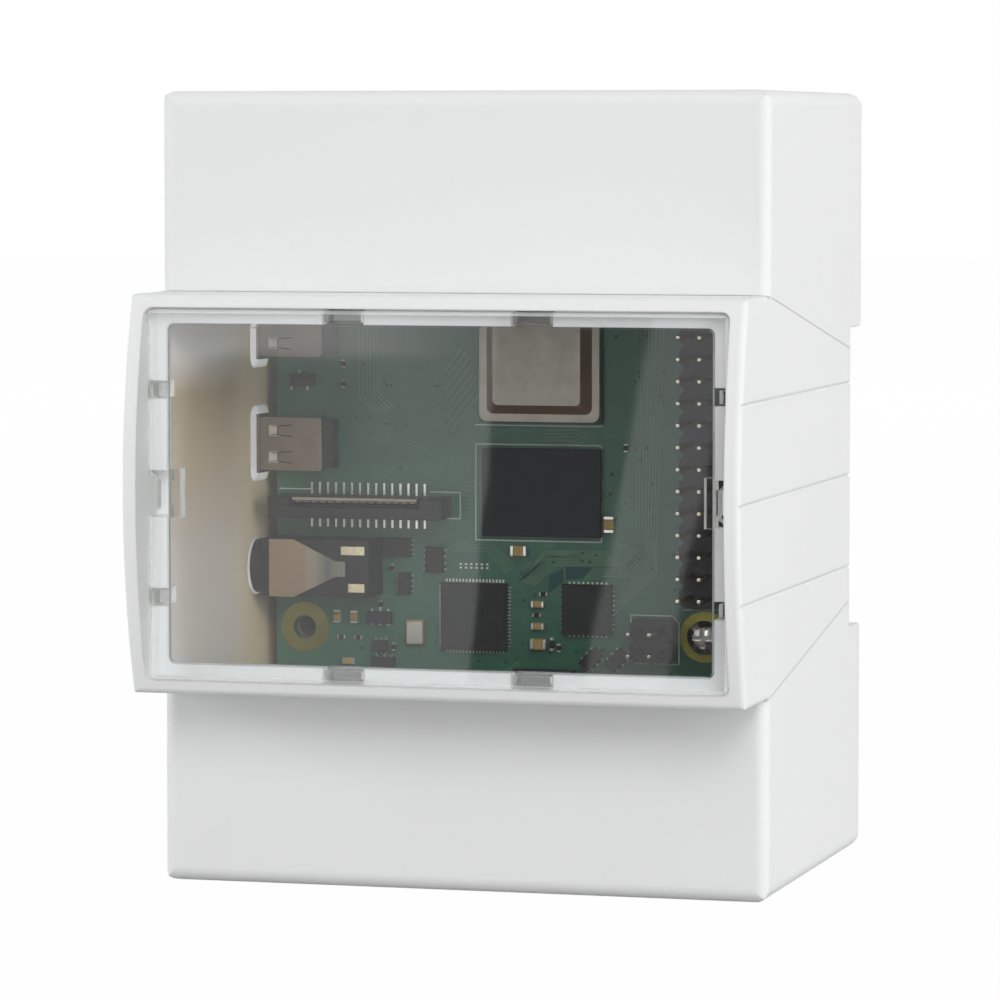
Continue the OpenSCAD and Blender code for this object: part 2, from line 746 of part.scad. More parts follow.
// Stamped metal lid: a flange round a raised plateau with sloping sides
module processor_lid() {
    flange = 14.6;
    flange_t = 0.5;
    plateau = 12.8;
    rise = 1.3;
    taper = 0.83;
    color("silver") on_board() translate([processor_at[0], processor_at[1], substrate_h]) {
        linear_extrude(flange_t) rounded(-flange / 2 * [1, 1], flange / 2 * [1, 1], 1);
        translate([0, 0, flange_t]) linear_extrude(rise, scale = taper)
            rounded(-plateau / 2 * [1, 1], plateau / 2 * [1, 1], 0.8, $fn = 24);
    }
}

module memory_chip() {
    color("dimgray") on_board() on_face([board_len - 40.1, 32.9], [10.4, 14.4, 0.9]);
}

module network_chip() {
    color("dimgray") on_board() on_face([board_len - 25.3, 24.6], [8, 8, 0.85]);
}

module port_chip() {
    color("dimgray") on_board() on_face([board_len - 26.4, 38.4], [6, 6, 0.85]);
}

module power_chip() {
    color("dimgray") on_board() on_face([12.6, 24.6], [5, 5, 0.85]);
}

module small_chips() {
    color("dimgray") on_board() small_parts(chip_list);
}

module wireless_shield() {
    at = [14, 41.5];
    size = [12, 10, 1.9];
    color("silver") on_board() difference() {
        on_face(at, size);
        on_face(at, size - shell_t * [2, 2, 0], -shell_t);
    }
}

// Ceramic timing part: a low body under a metal lid
module crystal_can() {
    at = [board_len - 23.2, 17.4];
    body = [3, 2.3, 0.7];
    lid = [2.7, 2, 0.4];
    color("tan") on_board() {
        on_face(at, body);
        on_face(at, lid, body[2] - lid[2] / 2);
    }
}

// Places of the header pins on the board
function pin_grid(at, columns) = [for (i = [0 : columns - 1], j = [-0.5, 0.5])
    [at[0] + (i - (columns - 1) / 2) * pin_pitch, at[1] + j * pin_pitch]];
function header_places() = pin_grid([header_u, header_v], pin_count);
function aux_places() = pin_grid(aux_at, 2);

// Moulded strip with notches between its columns
module pin_strip(at, columns, places) {
    side_v = at[1] - pin_pitch;
    end_u = at[0] - columns * pin_pitch / 2;
    color("black") on_board() linear_extrude(strip_h) difference() {
        translate([end_u, side_v]) square([columns * pin_pitch, 2 * pin_pitch]);
        for (i = [0 : columns], v = [side_v, side_v + 2 * pin_pitch])
            translate([end_u + i * pin_pitch, v]) rotate(45) square(strip_notch * sqrt(2), center = true);
        for (p = places)
            translate(p) square(pin_w + 2 * pin_fit, center = true);
    }
}

module pins(places) {
    color("gold") on_board() for (p = places)
        translate([p[0] - pin_w / 2, p[1] - pin_w / 2, -board_t - pin_stub])
            cube([pin_w, pin_w, board_t + pin_stub + pin_h]);
}

module header_strip() {
    pin_strip([header_u, header_v], pin_count, header_places());
}

module header_pins() {
    pins(header_places());
}

module aux_header_strip() {
    pin_strip(aux_at, 2, aux_places());
}

module aux_header_pins() {
    pins(aux_places());
}

// Metal socket tube with a flared mouth past the left board edge: u width, v length, w height
socket_flare = 0.35;
socket_plug = 2;
socket_tail = 1.2;
socket_cut = 0.3;

module edge_socket(u, size, out) {
    bore = [size[0] - 2 * shell_t, size[1] + 2 * past, size[2] - 2 * shell_t];
    window = [1.3, 1.2];
    half = size[0] / 2;
    cut = size[1] - socket_cut;
    color("silver") on_board() translate([u, -out, 0]) difference() {
        union() {
            linear_extrude(size[2]) polygon([[-half, 0], [half, 0], [half, cut], [half - socket_cut, size[1]],
                [socket_cut - half, size[1]], [-half, cut]]);
            translate([-size[0] / 2 - socket_flare, 0, -socket_flare])
                cube([size[0] + 2 * socket_flare, socket_flare, size[2] + 2 * socket_flare]);
        }
        translate([-bore[0] / 2, -past, shell_t]) cube(bore);
        for (side = [-1, 1])
            translate([side * size[0] / 4 - window[0] / 2, out, size[2] / 2])
                cube([window[0], window[1], size[2]]);
    }
}

// Plastic insert of an edge socket: it closes the rear, carries the contact tongue and ends in a tail
module edge_insert(u, size, out) {
    bore = [size[0] - 2 * shell_t, size[2] - 2 * shell_t];
    tongue_size = [0.6 * bore[0], size[1] - socket_plug - socket_flare, 0.7];
    color("black") on_board() translate([u, -out, 0]) {
        translate([-bore[0] / 2, size[1] - socket_plug, shell_t]) cube([bore[0], socket_plug, bore[1]]);
        translate([-tongue_size[0] / 2, socket_flare, (size[2] - tongue_size[2]) / 2])
            cube(tongue_size + [0, shell_t, 0]);
        translate([-bore[0] / 2, size[1] - shell_t, shell_t]) cube([bore[0], socket_tail + shell_t, bore[1]]);
        translate([-bore[0] / 2, size[1], 0]) cube([bore[0], socket_tail, size[2] / 2]);
    }
}

module video_socket_upper() {
    edge_socket(video_us[0], video_size, video_out);
}

module video_socket_lower() {
    edge_socket(video_us[1], video_size, video_out);
}

module video_inserts() {
    for (u = video_us)
        edge_insert(u, video_size, video_out);
}

module power_socket() {
    edge_socket(power_u, power_size, power_out);
}

module power_insert() {
    edge_insert(power_u, power_size, power_out);
}

module audio_jack_body() {
    bore_z = audio_size[2] / 2;
    rear = 2;
    color("black") on_board() difference() {
        union() {
            translate([audio_u - audio_size[0] / 2, 0, 0]) cube(audio_size);
            translate([audio_u, 0, bore_z]) rotate([90, 0, 0])
                cylinder(d = audio_barrel_d, h = audio_out);
        }
        translate([audio_u, audio_size[1] - rear, bore_z]) rotate([90, 0, 0])
            cylinder(d = audio_bore_d, h = audio_size[1] + audio_out);
    }
}

// Sprung metal plate on top of the audio jack, tapering towards the rear
module audio_jack_plate() {
    half = audio_size[0] / 2;
    plate_t = 0.25;
    taper = [[half, 1], [half, 4], [0.9, 9.2], [0.9, 10.4]];
    color("silver") on_board() translate([audio_u, 0, audio_size[2]]) linear_extrude(plate_t)
        polygon(concat(taper, [for (i = [3 : -1 : 0]) [-taper[i][0], taper[i][1]]]));
}

// Contact tabs at the rear of the audio jack
module audio_jack_tabs() {
    tab_t = 0.3;
    tabs = [[-2.2, 9.9, 1, 2.9], [2.2, 10.8, 1, 2]];
    color("gold") on_board() translate([audio_u, 0, audio_size[2]]) linear_extrude(tab_t)
        for (tab = tabs)
            translate([tab[0], tab[1] + tab[3] / 2]) square([tab[2], tab[3]], center = true);
}

// Ribbon connector: a socket with a lifting collar that clamps the ribbon
ribbon_l = (ribbon_count + 5.4) * ribbon_pitch;
ribbon_w = 2.5;
ribbon_floor = 1;
ribbon_slot = 0.5;
slot_l = (ribbon_count + 1) * ribbon_pitch;
slot_from_back = 0.7;
collar_h = 2;
collar_over = 0.5;
collar_bar = 1.4;
comb_t = 0.45;
leg_size = [1.2, 0.9];
leg_h = 1.6;

module ribbon_socket(at) {
    base_h = ribbon_h - collar_h - collar_gap;
    pocket = leg_size + 2 * collar_gap * [1, 1];
    back_u = at[0] - ribbon_w / 2;
    color("dimgray") on_board() difference() {
        union() {
            on_face(at, [ribbon_w, ribbon_l, base_h]);
            on_face([back_u + comb_t / 2, at[1]], [comb_t, slot_l - 4 * collar_gap, ribbon_h - collar_gap]);
        }
        on_face([back_u + slot_from_back, at[1]], [ribbon_slot, slot_l, base_h], ribbon_floor);
        for (side = [-1, 1])
            on_face([at[0], at[1] + side * (ribbon_l - leg_size[1]) / 2], [pocket[0], pocket[1], base_h],
                base_h - leg_h - collar_gap);
    }
}

module ribbon_collar(at) {
    foot = ribbon_h - collar_h;
    color("black") on_board() difference() {
        union() {
            on_face(at, [ribbon_w, ribbon_l + 2 * collar_over, collar_h], foot);
            for (side = [-1, 1])
                on_face([at[0], at[1] + side * (ribbon_l - leg_size[1]) / 2],
                    [leg_size[0], leg_size[1], leg_h], foot - leg_h);
        }
        on_face([at[0] - collar_bar, at[1]], [ribbon_w, slot_l, collar_h + 2 * past], foot - past);
    }
}

// Soldered feet on both sides of a ribbon connector
module ribbon_pins(at) {
    foot = [1.4, 0.26, 0.3];
    color("silver") on_board() for (side = [-1, 1], i = [0 : ribbon_count - 1]) {
        place = (i - (ribbon_count - 1) / 2) * ribbon_pitch;
        on_face([at[0] + side * (ribbon_w + foot[0]) / 2, at[1] + place], foot);
    }
}

module camera_ribbon_socket() {
    ribbon_socket(camera_at);
}

module camera_ribbon_collar() {
    ribbon_collar(camera_at);
}

module camera_ribbon_pins() {
    ribbon_pins(camera_at);
}

module display_ribbon_socket() {
    ribbon_socket(display_at);
}

module display_ribbon_collar() {
    ribbon_collar(display_at);
}

module display_ribbon_pins() {
    ribbon_pins(display_at);
}

// Ports at the lower end of the board: shells are open towards the bottom face

network_hole = [12, 8.4, 14];
network_hole_w = 2.4;

module network_jack_shell() {
    face_u = board_len + network_out;
    color("silver") on_board() difference() {
        translate([face_u - network_size[0], network_v - network_size[1] / 2, 0]) cube(network_size);
        translate([face_u - network_hole[2], network_v - network_hole[0] / 2, network_hole_w])
            cube([network_hole[2] + past, network_hole[0], network_hole[1]]);
    }
}

// Contact comb at the back of the network jack
module network_jack_insert() {
    comb = [1.6, 9];
    contact = [7, 0.5, 0.8];
    contact_pitch = 1.02;
    contact_w = 6;
    contacts = 8;
    back_u = board_len + network_out - network_hole[2];
    color("black") on_board() {
        translate([back_u, network_v - comb[1] / 2, network_hole_w]) cube([comb[0], comb[1], network_hole[1]]);
        for (i = [0 : contacts - 1]) {
            v = network_v + (i - (contacts - 1) / 2) * contact_pitch;
            translate([back_u + comb[0] / 2, v - contact[1] / 2, network_hole_w + contact_w]) cube(contact);
        }
    }
}

data_hole = [12.4, 5.6, 9.5];
data_hole_ws = [1.6, 8.9];

module data_port(v) {
    face_u = board_len + data_out;
    color("silver") on_board() difference() {
        translate([face_u - data_size[0], v - data_size[1] / 2, 0]) cube(data_size);
        for (w = data_hole_ws)
            translate([face_u - data_hole[2], v - data_hole[0] / 2, w])
                cube([data_hole[2] + past, data_hole[0], data_hole[1]]);
    }
}

module data_tongues(v, tint) {
    tongue = [8.6, 11, 1.9];
    above = 1;
    back_u = board_len + data_out - data_hole[2];
    color(tint) on_board() for (w = data_hole_ws)
        translate([back_u, v - tongue[1] / 2, w + data_hole[1] - tongue[2] - above]) cube(tongue);
}

module data_port_inner() {
    data_port(data_vs[0]);
}

module data_port_outer() {
    data_port(data_vs[1]);
}

module data_tongues_inner() {
    data_tongues(data_vs[0], "royalblue");
}

module data_tongues_outer() {
    data_tongues(data_vs[1], "black");
}

// Card holder under the board's upper end
module memory_card_slot() {
    size = [14.5, 12, 1.5];
    set_back = 0.3;
    color("silver") on_board() translate([set_back, (board_wid - size[1]) / 2, -board_t - size[2]])
        difference() {
            cube(size);
            translate([-past, shell_t, shell_t])
                cube([size[0] - shell_t, size[1] - 2 * shell_t, size[2] - 2 * shell_t]);
        }
}

module capacitors() {
    color("tan") on_board() bodies_between_ends(capacitor_list);
}

module resistors() {
    color("black") on_board() bodies_between_ends(resistor_list);
}

// Metal ends of the capacitors and resistors
module part_terminals() {
    color("silver") on_board() for (p = concat(capacitor_list, resistor_list), side = [-1, 1])
        translate([p[0], p[1], 0]) rotate([0, 0, p[5]])
            translate([side * p[2] * (0.5 - terminal_share / 2) - p[2] * terminal_share / 2, -p[3] / 2, 0])
                cube([p[2] * terminal_share, p[3], p[4]]);
}

module inductors() {
    color("gray") on_board() small_parts(inductor_list);
}

module status_lights() {
    color("ivory") on_board() small_parts(light_list);
}

rear_base();
rail_latch();
front_frame();
upper_end_cover();
lower_end_cover();
window_panel();
circuit_board();
board_screws();
processor_substrate();
processor_lid();
memory_chip();
network_chip();
port_chip();
power_chip();
small_chips();
wireless_shield();
crystal_can();
header_strip();
header_pins();
aux_header_strip();
aux_header_pins();
video_socket_upper();
video_socket_lower();
video_inserts();
power_socket();
power_insert();
audio_jack_body();
audio_jack_plate();
audio_jack_tabs();
camera_ribbon_socket();
camera_ribbon_collar();
camera_ribbon_pins();
display_ribbon_socket();
display_ribbon_collar();
display_ribbon_pins();
network_jack_shell();
network_jack_insert();
data_port_inner();
data_port_outer();
data_tongues_inner();
data_tongues_outer();
memory_card_slot();
capacitors();
resistors();
part_terminals();
inductors();
status_lights();
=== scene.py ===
"""Looks of a rail-mounted case with a clear front panel over a single-board computer.

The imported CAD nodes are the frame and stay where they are. This script gives each node a
procedural material, adds the fine detail that solids leave out, such as printed lines, tracks and
solder lands, and sets the light, the floor and the photograph's camera.
"""
import math
import random

import bmesh
import bpy
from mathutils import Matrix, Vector


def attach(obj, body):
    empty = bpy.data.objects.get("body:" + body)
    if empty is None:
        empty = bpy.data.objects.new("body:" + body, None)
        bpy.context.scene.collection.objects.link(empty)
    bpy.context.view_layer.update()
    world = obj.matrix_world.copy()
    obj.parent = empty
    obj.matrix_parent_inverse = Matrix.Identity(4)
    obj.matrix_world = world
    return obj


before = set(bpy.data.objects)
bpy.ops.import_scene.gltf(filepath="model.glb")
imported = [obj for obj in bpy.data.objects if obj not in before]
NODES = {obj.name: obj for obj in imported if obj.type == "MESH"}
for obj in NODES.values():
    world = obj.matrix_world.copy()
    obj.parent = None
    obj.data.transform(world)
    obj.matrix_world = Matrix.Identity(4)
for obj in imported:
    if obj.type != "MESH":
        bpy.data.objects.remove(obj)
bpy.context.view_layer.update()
MM = 0.001

# Photograph's camera: place and direction in the part's frame, in metres
CAMERA_PLACE = Vector((0.1617, -0.57873, 0.08507))
CAMERA_FORWARD = Vector((-0.26903, 0.96063, -0.06934))
CAMERA_LENS = 187.006
SENSOR = 36.0


# Places taken from the frame, in millimetres


def node_box(name):
    """Lowest and highest corner of a node."""
    node = NODES[name]
    points = [node.matrix_world @ vertex.co / MM for vertex in node.data.vertices]
    low = Vector([min(point[i] for point in points) for i in range(3)])
    high = Vector([max(point[i] for point in points) for i in range(3)])
    return low, high


# Board frame: u runs down the board, v across it, w out of its face
BOARD_LOW, BOARD_HIGH = node_box("circuit_board")
BOARD_X, BOARD_Y, BOARD_Z = BOARD_LOW.x, BOARD_LOW.y, BOARD_HIGH.z
BOARD_WIDTH = BOARD_HIGH.x - BOARD_LOW.x


def board_point(u, v, w):
    """Point in metres for board coordinates in millimetres."""
    return Vector((BOARD_X + v, BOARD_Y - w, BOARD_Z - u)) * MM


def board_span(name):
    """Reach of a node along u, v and w, each as (low, high)."""
    low, high = node_box(name)
    along_u = (BOARD_Z - high.z, BOARD_Z - low.z)
    along_v = (low.x - BOARD_X, high.x - BOARD_X)
    along_w = (BOARD_Y - high.y, BOARD_Y - low.y)
    return along_u, along_v, along_w


def middle(span):
    return (span[0] + span[1]) / 2


# Mounting holes of the board
HOLE_EDGE, HOLE_SPAN, BORE_R = 3.5, 58.0, 1.45
HOLE_MID = (HOLE_EDGE + HOLE_SPAN / 2, BOARD_WIDTH / 2)
HOLE_HALF = (HOLE_SPAN / 2, BOARD_WIDTH / 2 - HOLE_EDGE)
HOLES = [(HOLE_MID[0] + i * HOLE_HALF[0], HOLE_MID[1] + j * HOLE_HALF[1])
         for i in (-1, 1) for j in (-1, 1)]

# Long pin header
PITCH = 2.54
HEADER_U, HEADER_V, _ = board_span("header_strip")
COLUMNS = round((HEADER_U[1] - HEADER_U[0]) / PITCH)
PIN_TOP = board_span("header_pins")[2][1]

# Height of printed lines, tracks and lands over the board
TRACK_H, SILK_H, LAND_H = 0.02, 0.035, 0.05

# Middle of the bezel
FRAME_LOW, FRAME_HIGH = node_box("front_frame")
MID_Z = middle((FRAME_LOW.z, FRAME_HIGH.z))


# Node helpers


def link(tree, source, target):
    tree.links.new(source, target)


def new_node(tree, kind, **values):
    node = tree.nodes.new(kind)
    for key, value in values.items():
        setattr(node, key, value)
    return node


def maths(tree, operation, a, b=None):
    """Math node; a and b are sockets or plain numbers."""
    node = new_node(tree, "ShaderNodeMath", operation=operation)
    for i, value in enumerate((a, b)):
        if value is None:
            continue
        if isinstance(value, (int, float)):
            node.inputs[i].default_value = value
        else:
            link(tree, value, node.inputs[i])
    return node.outputs[0]


def product(tree, first, *others):
    for other in others:
        first = maths(tree, "MULTIPLY", first, other)
    return first


def away_from(tree, place, value):
    """How far a value is from a place."""
    return maths(tree, "ABSOLUTE", maths(tree, "SUBTRACT", value, place))


def between(tree, value, low, high):
    """One where low < value < high, else zero."""
    above = maths(tree, "GREATER_THAN", value, low)
    return product(tree, above, maths(tree, "LESS_THAN", value, high))


def map_range(tree, value, low, high, smooth=False):
    """Zero at low, one at high."""
    node = new_node(tree, "ShaderNodeMapRange")
    if smooth:
        node.interpolation_type = "SMOOTHSTEP"
    node.inputs["From Min"].default_value = low
    node.inputs["From Max"].default_value = high
    link(tree, value, node.inputs["Value"])
    return node.outputs["Result"]


def object_coords(tree):
    return new_node(tree, "ShaderNodeTexCoord").outputs["Object"]


def separate(tree, vector):
    """X, Y and Z of a vector."""
    axes = new_node(tree, "ShaderNodeSeparateXYZ")
    link(tree, vector, axes.inputs[0])
    return axes.outputs


def object_axes(tree):
    return separate(tree, object_coords(tree))


def normal_axes(tree):
    return separate(tree, new_node(tree, "ShaderNodeNewGeometry").outputs["Normal"])


def within(tree, axes, spans):
    """One inside a box given as {axis: (low, high)} in millimetres, else zero."""
    masks = [between(tree, axes[axis], low * MM, high * MM) for axis, (low, high) in spans.items()]
    return product(tree, *masks)


def noise(tree, scale, detail=2.0, roughness=0.5):
    node = new_node(tree, "ShaderNodeTexNoise")
    node.inputs["Scale"].default_value = scale
    node.inputs["Detail"].default_value = detail
    node.inputs["Roughness"].default_value = roughness
    link(tree, object_coords(tree), node.inputs["Vector"])
    return node.outputs["Fac"]


def ramp(tree, factor, stops):
    """Colour ramp; stops are (place, colour)."""
    node = new_node(tree, "ShaderNodeValToRGB")
    elements = node.color_ramp.elements
    while len(elements) < len(stops):
        elements.new(0.5)
    for element, (place, colour) in zip(elements, stops):
        element.position = place
        element.color = (*colour, 1.0)
    link(tree, factor, node.inputs["Fac"])
    return node.outputs["Color"]


def mottled(tree, scale, low, high, detail=2.0):
    """Colour that wanders between two by noise."""
    return ramp(tree, noise(tree, scale, detail), [(0.3, low), (0.7, high)])


def mix_colour(tree, factor, a, b):
    """Colour mix; each colour is a socket or a tuple."""
    node = new_node(tree, "ShaderNodeMix", data_type="RGBA")
    for socket, value in ((node.inputs[6], a), (node.inputs[7], b)):
        if isinstance(value, tuple):
            socket.default_value = (*value, 1.0)
        else:
            link(tree, value, socket)
    link(tree, factor, node.inputs[0])
    return node.outputs[2]


def material(name, **sockets):
    """Principled material; sockets are its constant inputs by name."""
    mat = bpy.data.materials.new(name)
    mat.use_nodes = True
    shader = mat.node_tree.nodes["Principled BSDF"]
    for key, value in sockets.items():
        shader.inputs[key.replace("_", " ")].default_value = value
    return mat, mat.node_tree, shader


def grain(tree, shader, scale, strength, distance, normal=None):
    """Fine bump from noise, on the surface's own normal or a given one."""
    bump = new_node(tree, "ShaderNodeBump")
    bump.inputs["Strength"].default_value = strength
    bump.inputs["Distance"].default_value = distance
    link(tree, noise(tree, scale), bump.inputs["Height"])
    if normal is not None:
        link(tree, normal, bump.inputs["Normal"])
    link(tree, bump.outputs["Normal"], shader.inputs["Normal"])


def vary(tree, shader, colour, spread, scale):
    """Colour that wanders a little round a mean."""
    low = tuple(max(0.0, c * (1 - spread)) for c in colour)
    high = tuple(min(1.0, c * (1 + spread)) for c in colour)
    link(tree, mottled(tree, scale, low, high, detail=3.0), shader.inputs["Base Color"])


def vary_roughness(tree, shader, low, high, scale):
    node = new_node(tree, "ShaderNodeMapRange")
    node.inputs["To Min"].default_value = low
    node.inputs["To Max"].default_value = high
    link(tree, noise(tree, scale), node.inputs["Value"])
    link(tree, node.outputs["Result"], shader.inputs["Roughness"])


# Materials

# Parts of the housing with a colour of their own, in millimetres: the inside of the case, and places given
# painted light and painted shade
BEHIND_BEZEL = {"X": (-32.5, 32.5), "Y": (-16.0, 24.3), "Z": (19.7, 70.8)}
BEHIND_PANEL = {"X": (-32.5, 32.5), "Y": (-24.5, 0.0), "Z": (26.2, 64.3)}
# Painted light: rims of the plug cut-outs in the left wall, painted near white as if brightly lit from
# outside
PLUG_RIMS_PAINTED_LIGHT = {"X": (-35.4, -33.6), "Y": (2.5, 15.0), "Z": (30.0, 84.0)}
# Painted shade: pockets beside the panel, painted grey in place of their shadow
SHADED_POCKETS = {"X": (-31.0, 31.0), "Y": (-24.7, -16.5)}
SHADED_POCKETS_FROM_MID = (19.1, 21.5)
# Heights over which the painted shade and painted light on the inner left wall run, and how cloudy their edge
# is
WALL_FOOT, WALL_HEAD, WALL_CLOUD = 26.0, 66.0, 4.0
# Depths over which painted light lightens the inner left wall towards the board
WALL_FRONT, WALL_BACK = -5.0, 9.0
HOUSING_EDGE = 0.28

# Inner left wall, from its foot to its head: painted shade browns a band below its head, where a painted
# light patch turns near white
WALL_PAINTED_SHADE_AND_LIGHT = [(0.10, (0.86, 0.79, 0.73)), (0.35, (0.80, 0.73, 0.65)), (0.60, (0.67, 0.53, 0.37)),
              (0.80, (0.51, 0.385, 0.225)), (0.92, (0.88, 0.84, 0.79))]
# Painted light: the wall next to the board is lightened and yellowed as if lit by light leaking in round the
# board
WALL_PAINTED_GLOW_BY_BOARD = (0.96, 0.80, 0.54)
RIGHT_WALL = (0.82, 0.77, 0.70)
# Painted light on the plug rims
RIM_PAINTED_LIGHT = (0.97, 0.97, 0.97)
# Painted shade in the pockets
POCKET_PAINTED_SHADE = (0.42, 0.42, 0.415)
# Painted shade in the bores of the board posts
BORE_PAINTED_SHADE = (0.24, 0.18, 0.13)


def inner_wall_with_painted_light(tree, axes):
    """Inside colour with painted light: painted shade browns the left wall towards its top, a painted light
    patch whitens its head, and painted light warms it towards the board.
    """
    cloudy_height = maths(tree, "ADD", axes["Z"], product(tree, noise(tree, 60.0), WALL_CLOUD * MM))
    # Painted shade and a painted light patch by height, then painted light towards the board by depth
    painted_light_wall = ramp(tree, map_range(tree, cloudy_height, WALL_FOOT * MM, WALL_HEAD * MM), WALL_PAINTED_SHADE_AND_LIGHT)
    glow_depth = map_range(tree, axes["Y"], WALL_FRONT * MM, WALL_BACK * MM, smooth=True)
    painted_light_wall = mix_colour(tree, glow_depth, painted_light_wall, WALL_PAINTED_GLOW_BY_BOARD)
    return mix_colour(tree, maths(tree, "LESS_THAN", axes["X"], 0.0), RIGHT_WALL, painted_light_wall)


def post_bore_shade_mask(tree, axes):
    """One in the bores of the board posts, where painted shade goes."""
    from_mid = (away_from(tree, (BOARD_Z - HOLE_MID[0]) * MM, axes["Z"]),
                away_from(tree, (BOARD_X + HOLE_MID[1]) * MM, axes["X"]))
    near = [between(tree, off, (half - BORE_R) * MM, (half + BORE_R) * MM)
            for off, half in zip(from_mid, HOLE_HALF)]
    return product(tree, *near)


def housing_material():
    """White moulded plastic: matt grain and soft edges outside, warmer inside the case, with painted light
    and painted shade on the inner left wall, the plug rims, the pockets and the post bores.
    """
    mat, tree, shader = material("moulded_white", Specular_IOR_Level=0.4)
    axes = object_axes(tree)
    inside = maths(tree, "MAXIMUM", within(tree, axes, BEHIND_BEZEL), within(tree, axes, BEHIND_PANEL))
    colour = mottled(tree, 45.0, (0.787, 0.793, 0.790), (0.80, 0.806, 0.803))
    colour = mix_colour(tree, inside, colour, inner_wall_with_painted_light(tree, axes))
    # Painted light: the plug rims are painted near white
    colour = mix_colour(tree, within(tree, axes, PLUG_RIMS_PAINTED_LIGHT), colour, RIM_PAINTED_LIGHT)
    # Painted shade in the pockets beside the panel
    from_mid = away_from(tree, MID_Z * MM, axes["Z"])
    shaded_pocket = between(tree, from_mid, *(reach * MM for reach in SHADED_POCKETS_FROM_MID))
    colour = mix_colour(tree, product(tree, shaded_pocket, within(tree, axes, SHADED_POCKETS)), colour, POCKET_PAINTED_SHADE)
    # Painted shade in the post bores
    colour = mix_colour(tree, product(tree, post_bore_shade_mask(tree, axes), inside), colour, BORE_PAINTED_SHADE)
    link(tree, colour, shader.inputs["Base Color"])
    vary_roughness(tree, shader, 0.42, 0.56, 900.0)
    rounded = new_node(tree, "ShaderNodeBevel", samples=2)
    rounded.inputs["Radius"].default_value = HOUSING_EDGE * MM
    grain(tree, shader, 3600.0, 0.10, 0.08 * MM, normal=rounded.outputs["Normal"])
    return mat


def panel_material():
    """Clear polished plastic with a faint moulded wave and duller, partly white cut edges; the white on the
    edges is also painted light for light carried along the panel. Lamps shine through it.
    """
    mat, tree, shader = material("clear_plastic", IOR=1.49, Base_Color=(0.985, 0.99, 0.99, 1.0))
    # Cut edges: rougher and partly white, the white partly painted light for light carried to the edges
    edge = maths(tree, "LESS_THAN", maths(tree, "ABSOLUTE", normal_axes(tree)["Y"]), 0.9)
    clear = maths(tree, "SUBTRACT", 1.0, product(tree, edge, 0.4))
    link(tree, clear, shader.inputs["Transmission Weight"])
    polish = product(tree, noise(tree, 300.0), 0.02)
    link(tree, maths(tree, "ADD", polish, product(tree, edge, 0.22)), shader.inputs["Roughness"])
    grain(tree, shader, 55.0, 0.015, 0.4 * MM)
    through = new_node(tree, "ShaderNodeBsdfTransparent")
    through.inputs["Color"].default_value = (0.96, 0.97, 0.97, 1.0)
    rays = new_node(tree, "ShaderNodeLightPath").outputs
    lamp_rays = maths(tree, "MAXIMUM", rays["Is Shadow Ray"], rays["Is Diffuse Ray"])
    mix_shaders(tree, lamp_rays, shader.outputs[0], through.outputs[0])
    return mat


def mix_shaders(tree, factor, a, b):
    """Send a mix of two shaders to the material's output."""
    both = new_node(tree, "ShaderNodeMixShader")
    for i, socket in enumerate((factor, a, b)):
        link(tree, socket, both.inputs[i])
    link(tree, both.outputs[0], tree.nodes["Material Output"].inputs["Surface"])


def plastic(name, colour, low, high, spread=0.12, scale=700.0, bump=0.05, gloss=0.4):
    """Matt plastic; low and high are its roughness."""
    mat, tree, shader = material(name, Specular_IOR_Level=gloss)
    vary(tree, shader, colour, spread, scale)
    vary_roughness(tree, shader, low, high, 1500.0)
    grain(tree, shader, 5200.0, bump, 0.05 * MM)
    return mat


def metal_finish(tree, shader, low, high):
    """Roughness from low to high and a fine grain."""
    vary_roughness(tree, shader, low, high, 1200.0)
    grain(tree, shader, 3000.0, 0.03, 0.04 * MM)


def metal(name, colour, low, high):
    """Plain metal; low and high are its roughness."""
    mat, tree, shader = material(name, Metallic=1.0)
    vary(tree, shader, colour, 0.08, 500.0)
    metal_finish(tree, shader, low, high)
    return mat


def board_material():
    """Green solder resist over a copper pour, in two greens."""
    mat, tree, shader = material("solder_resist", Roughness=0.38, Coat_Weight=0.25, Coat_Roughness=0.15)
    cells = new_node(tree, "ShaderNodeTexVoronoi", feature="F1", distance="CHEBYCHEV")
    cells.inputs["Scale"].default_value = 190.0
    link(tree, object_coords(tree), cells.inputs["Vector"])
    pour = ramp(tree, cells.outputs["Distance"],
                [(0.42, (0.034, 0.138, 0.082)), (0.5, (0.024, 0.108, 0.064))])
    cloud = ramp(tree, noise(tree, 120.0, 3.0),
                 [(0.35, (0.023, 0.105, 0.064)), (0.65, (0.036, 0.150, 0.089))])
    link(tree, mix_colour(tree, noise(tree, 80.0), pour, cloud), shader.inputs["Base Color"])
    grain(tree, shader, 2400.0, 0.06, 0.03 * MM)
    return mat


def crystal_material():
    """Satin metal lid on a gilded rim."""
    rim_h = 0.75
    mat, tree, shader = material("crystal_lid", Metallic=1.0)
    lid = mottled(tree, 500.0, (0.68, 0.64, 0.58), (0.76, 0.72, 0.66))
    rim = maths(tree, "GREATER_THAN", object_axes(tree)["Y"], (BOARD_Y - rim_h) * MM)
    link(tree, mix_colour(tree, rim, lid, (0.62, 0.40, 0.12)), shader.inputs["Base Color"])
    vary_roughness(tree, shader, 0.3, 0.4, 1200.0)
    return mat


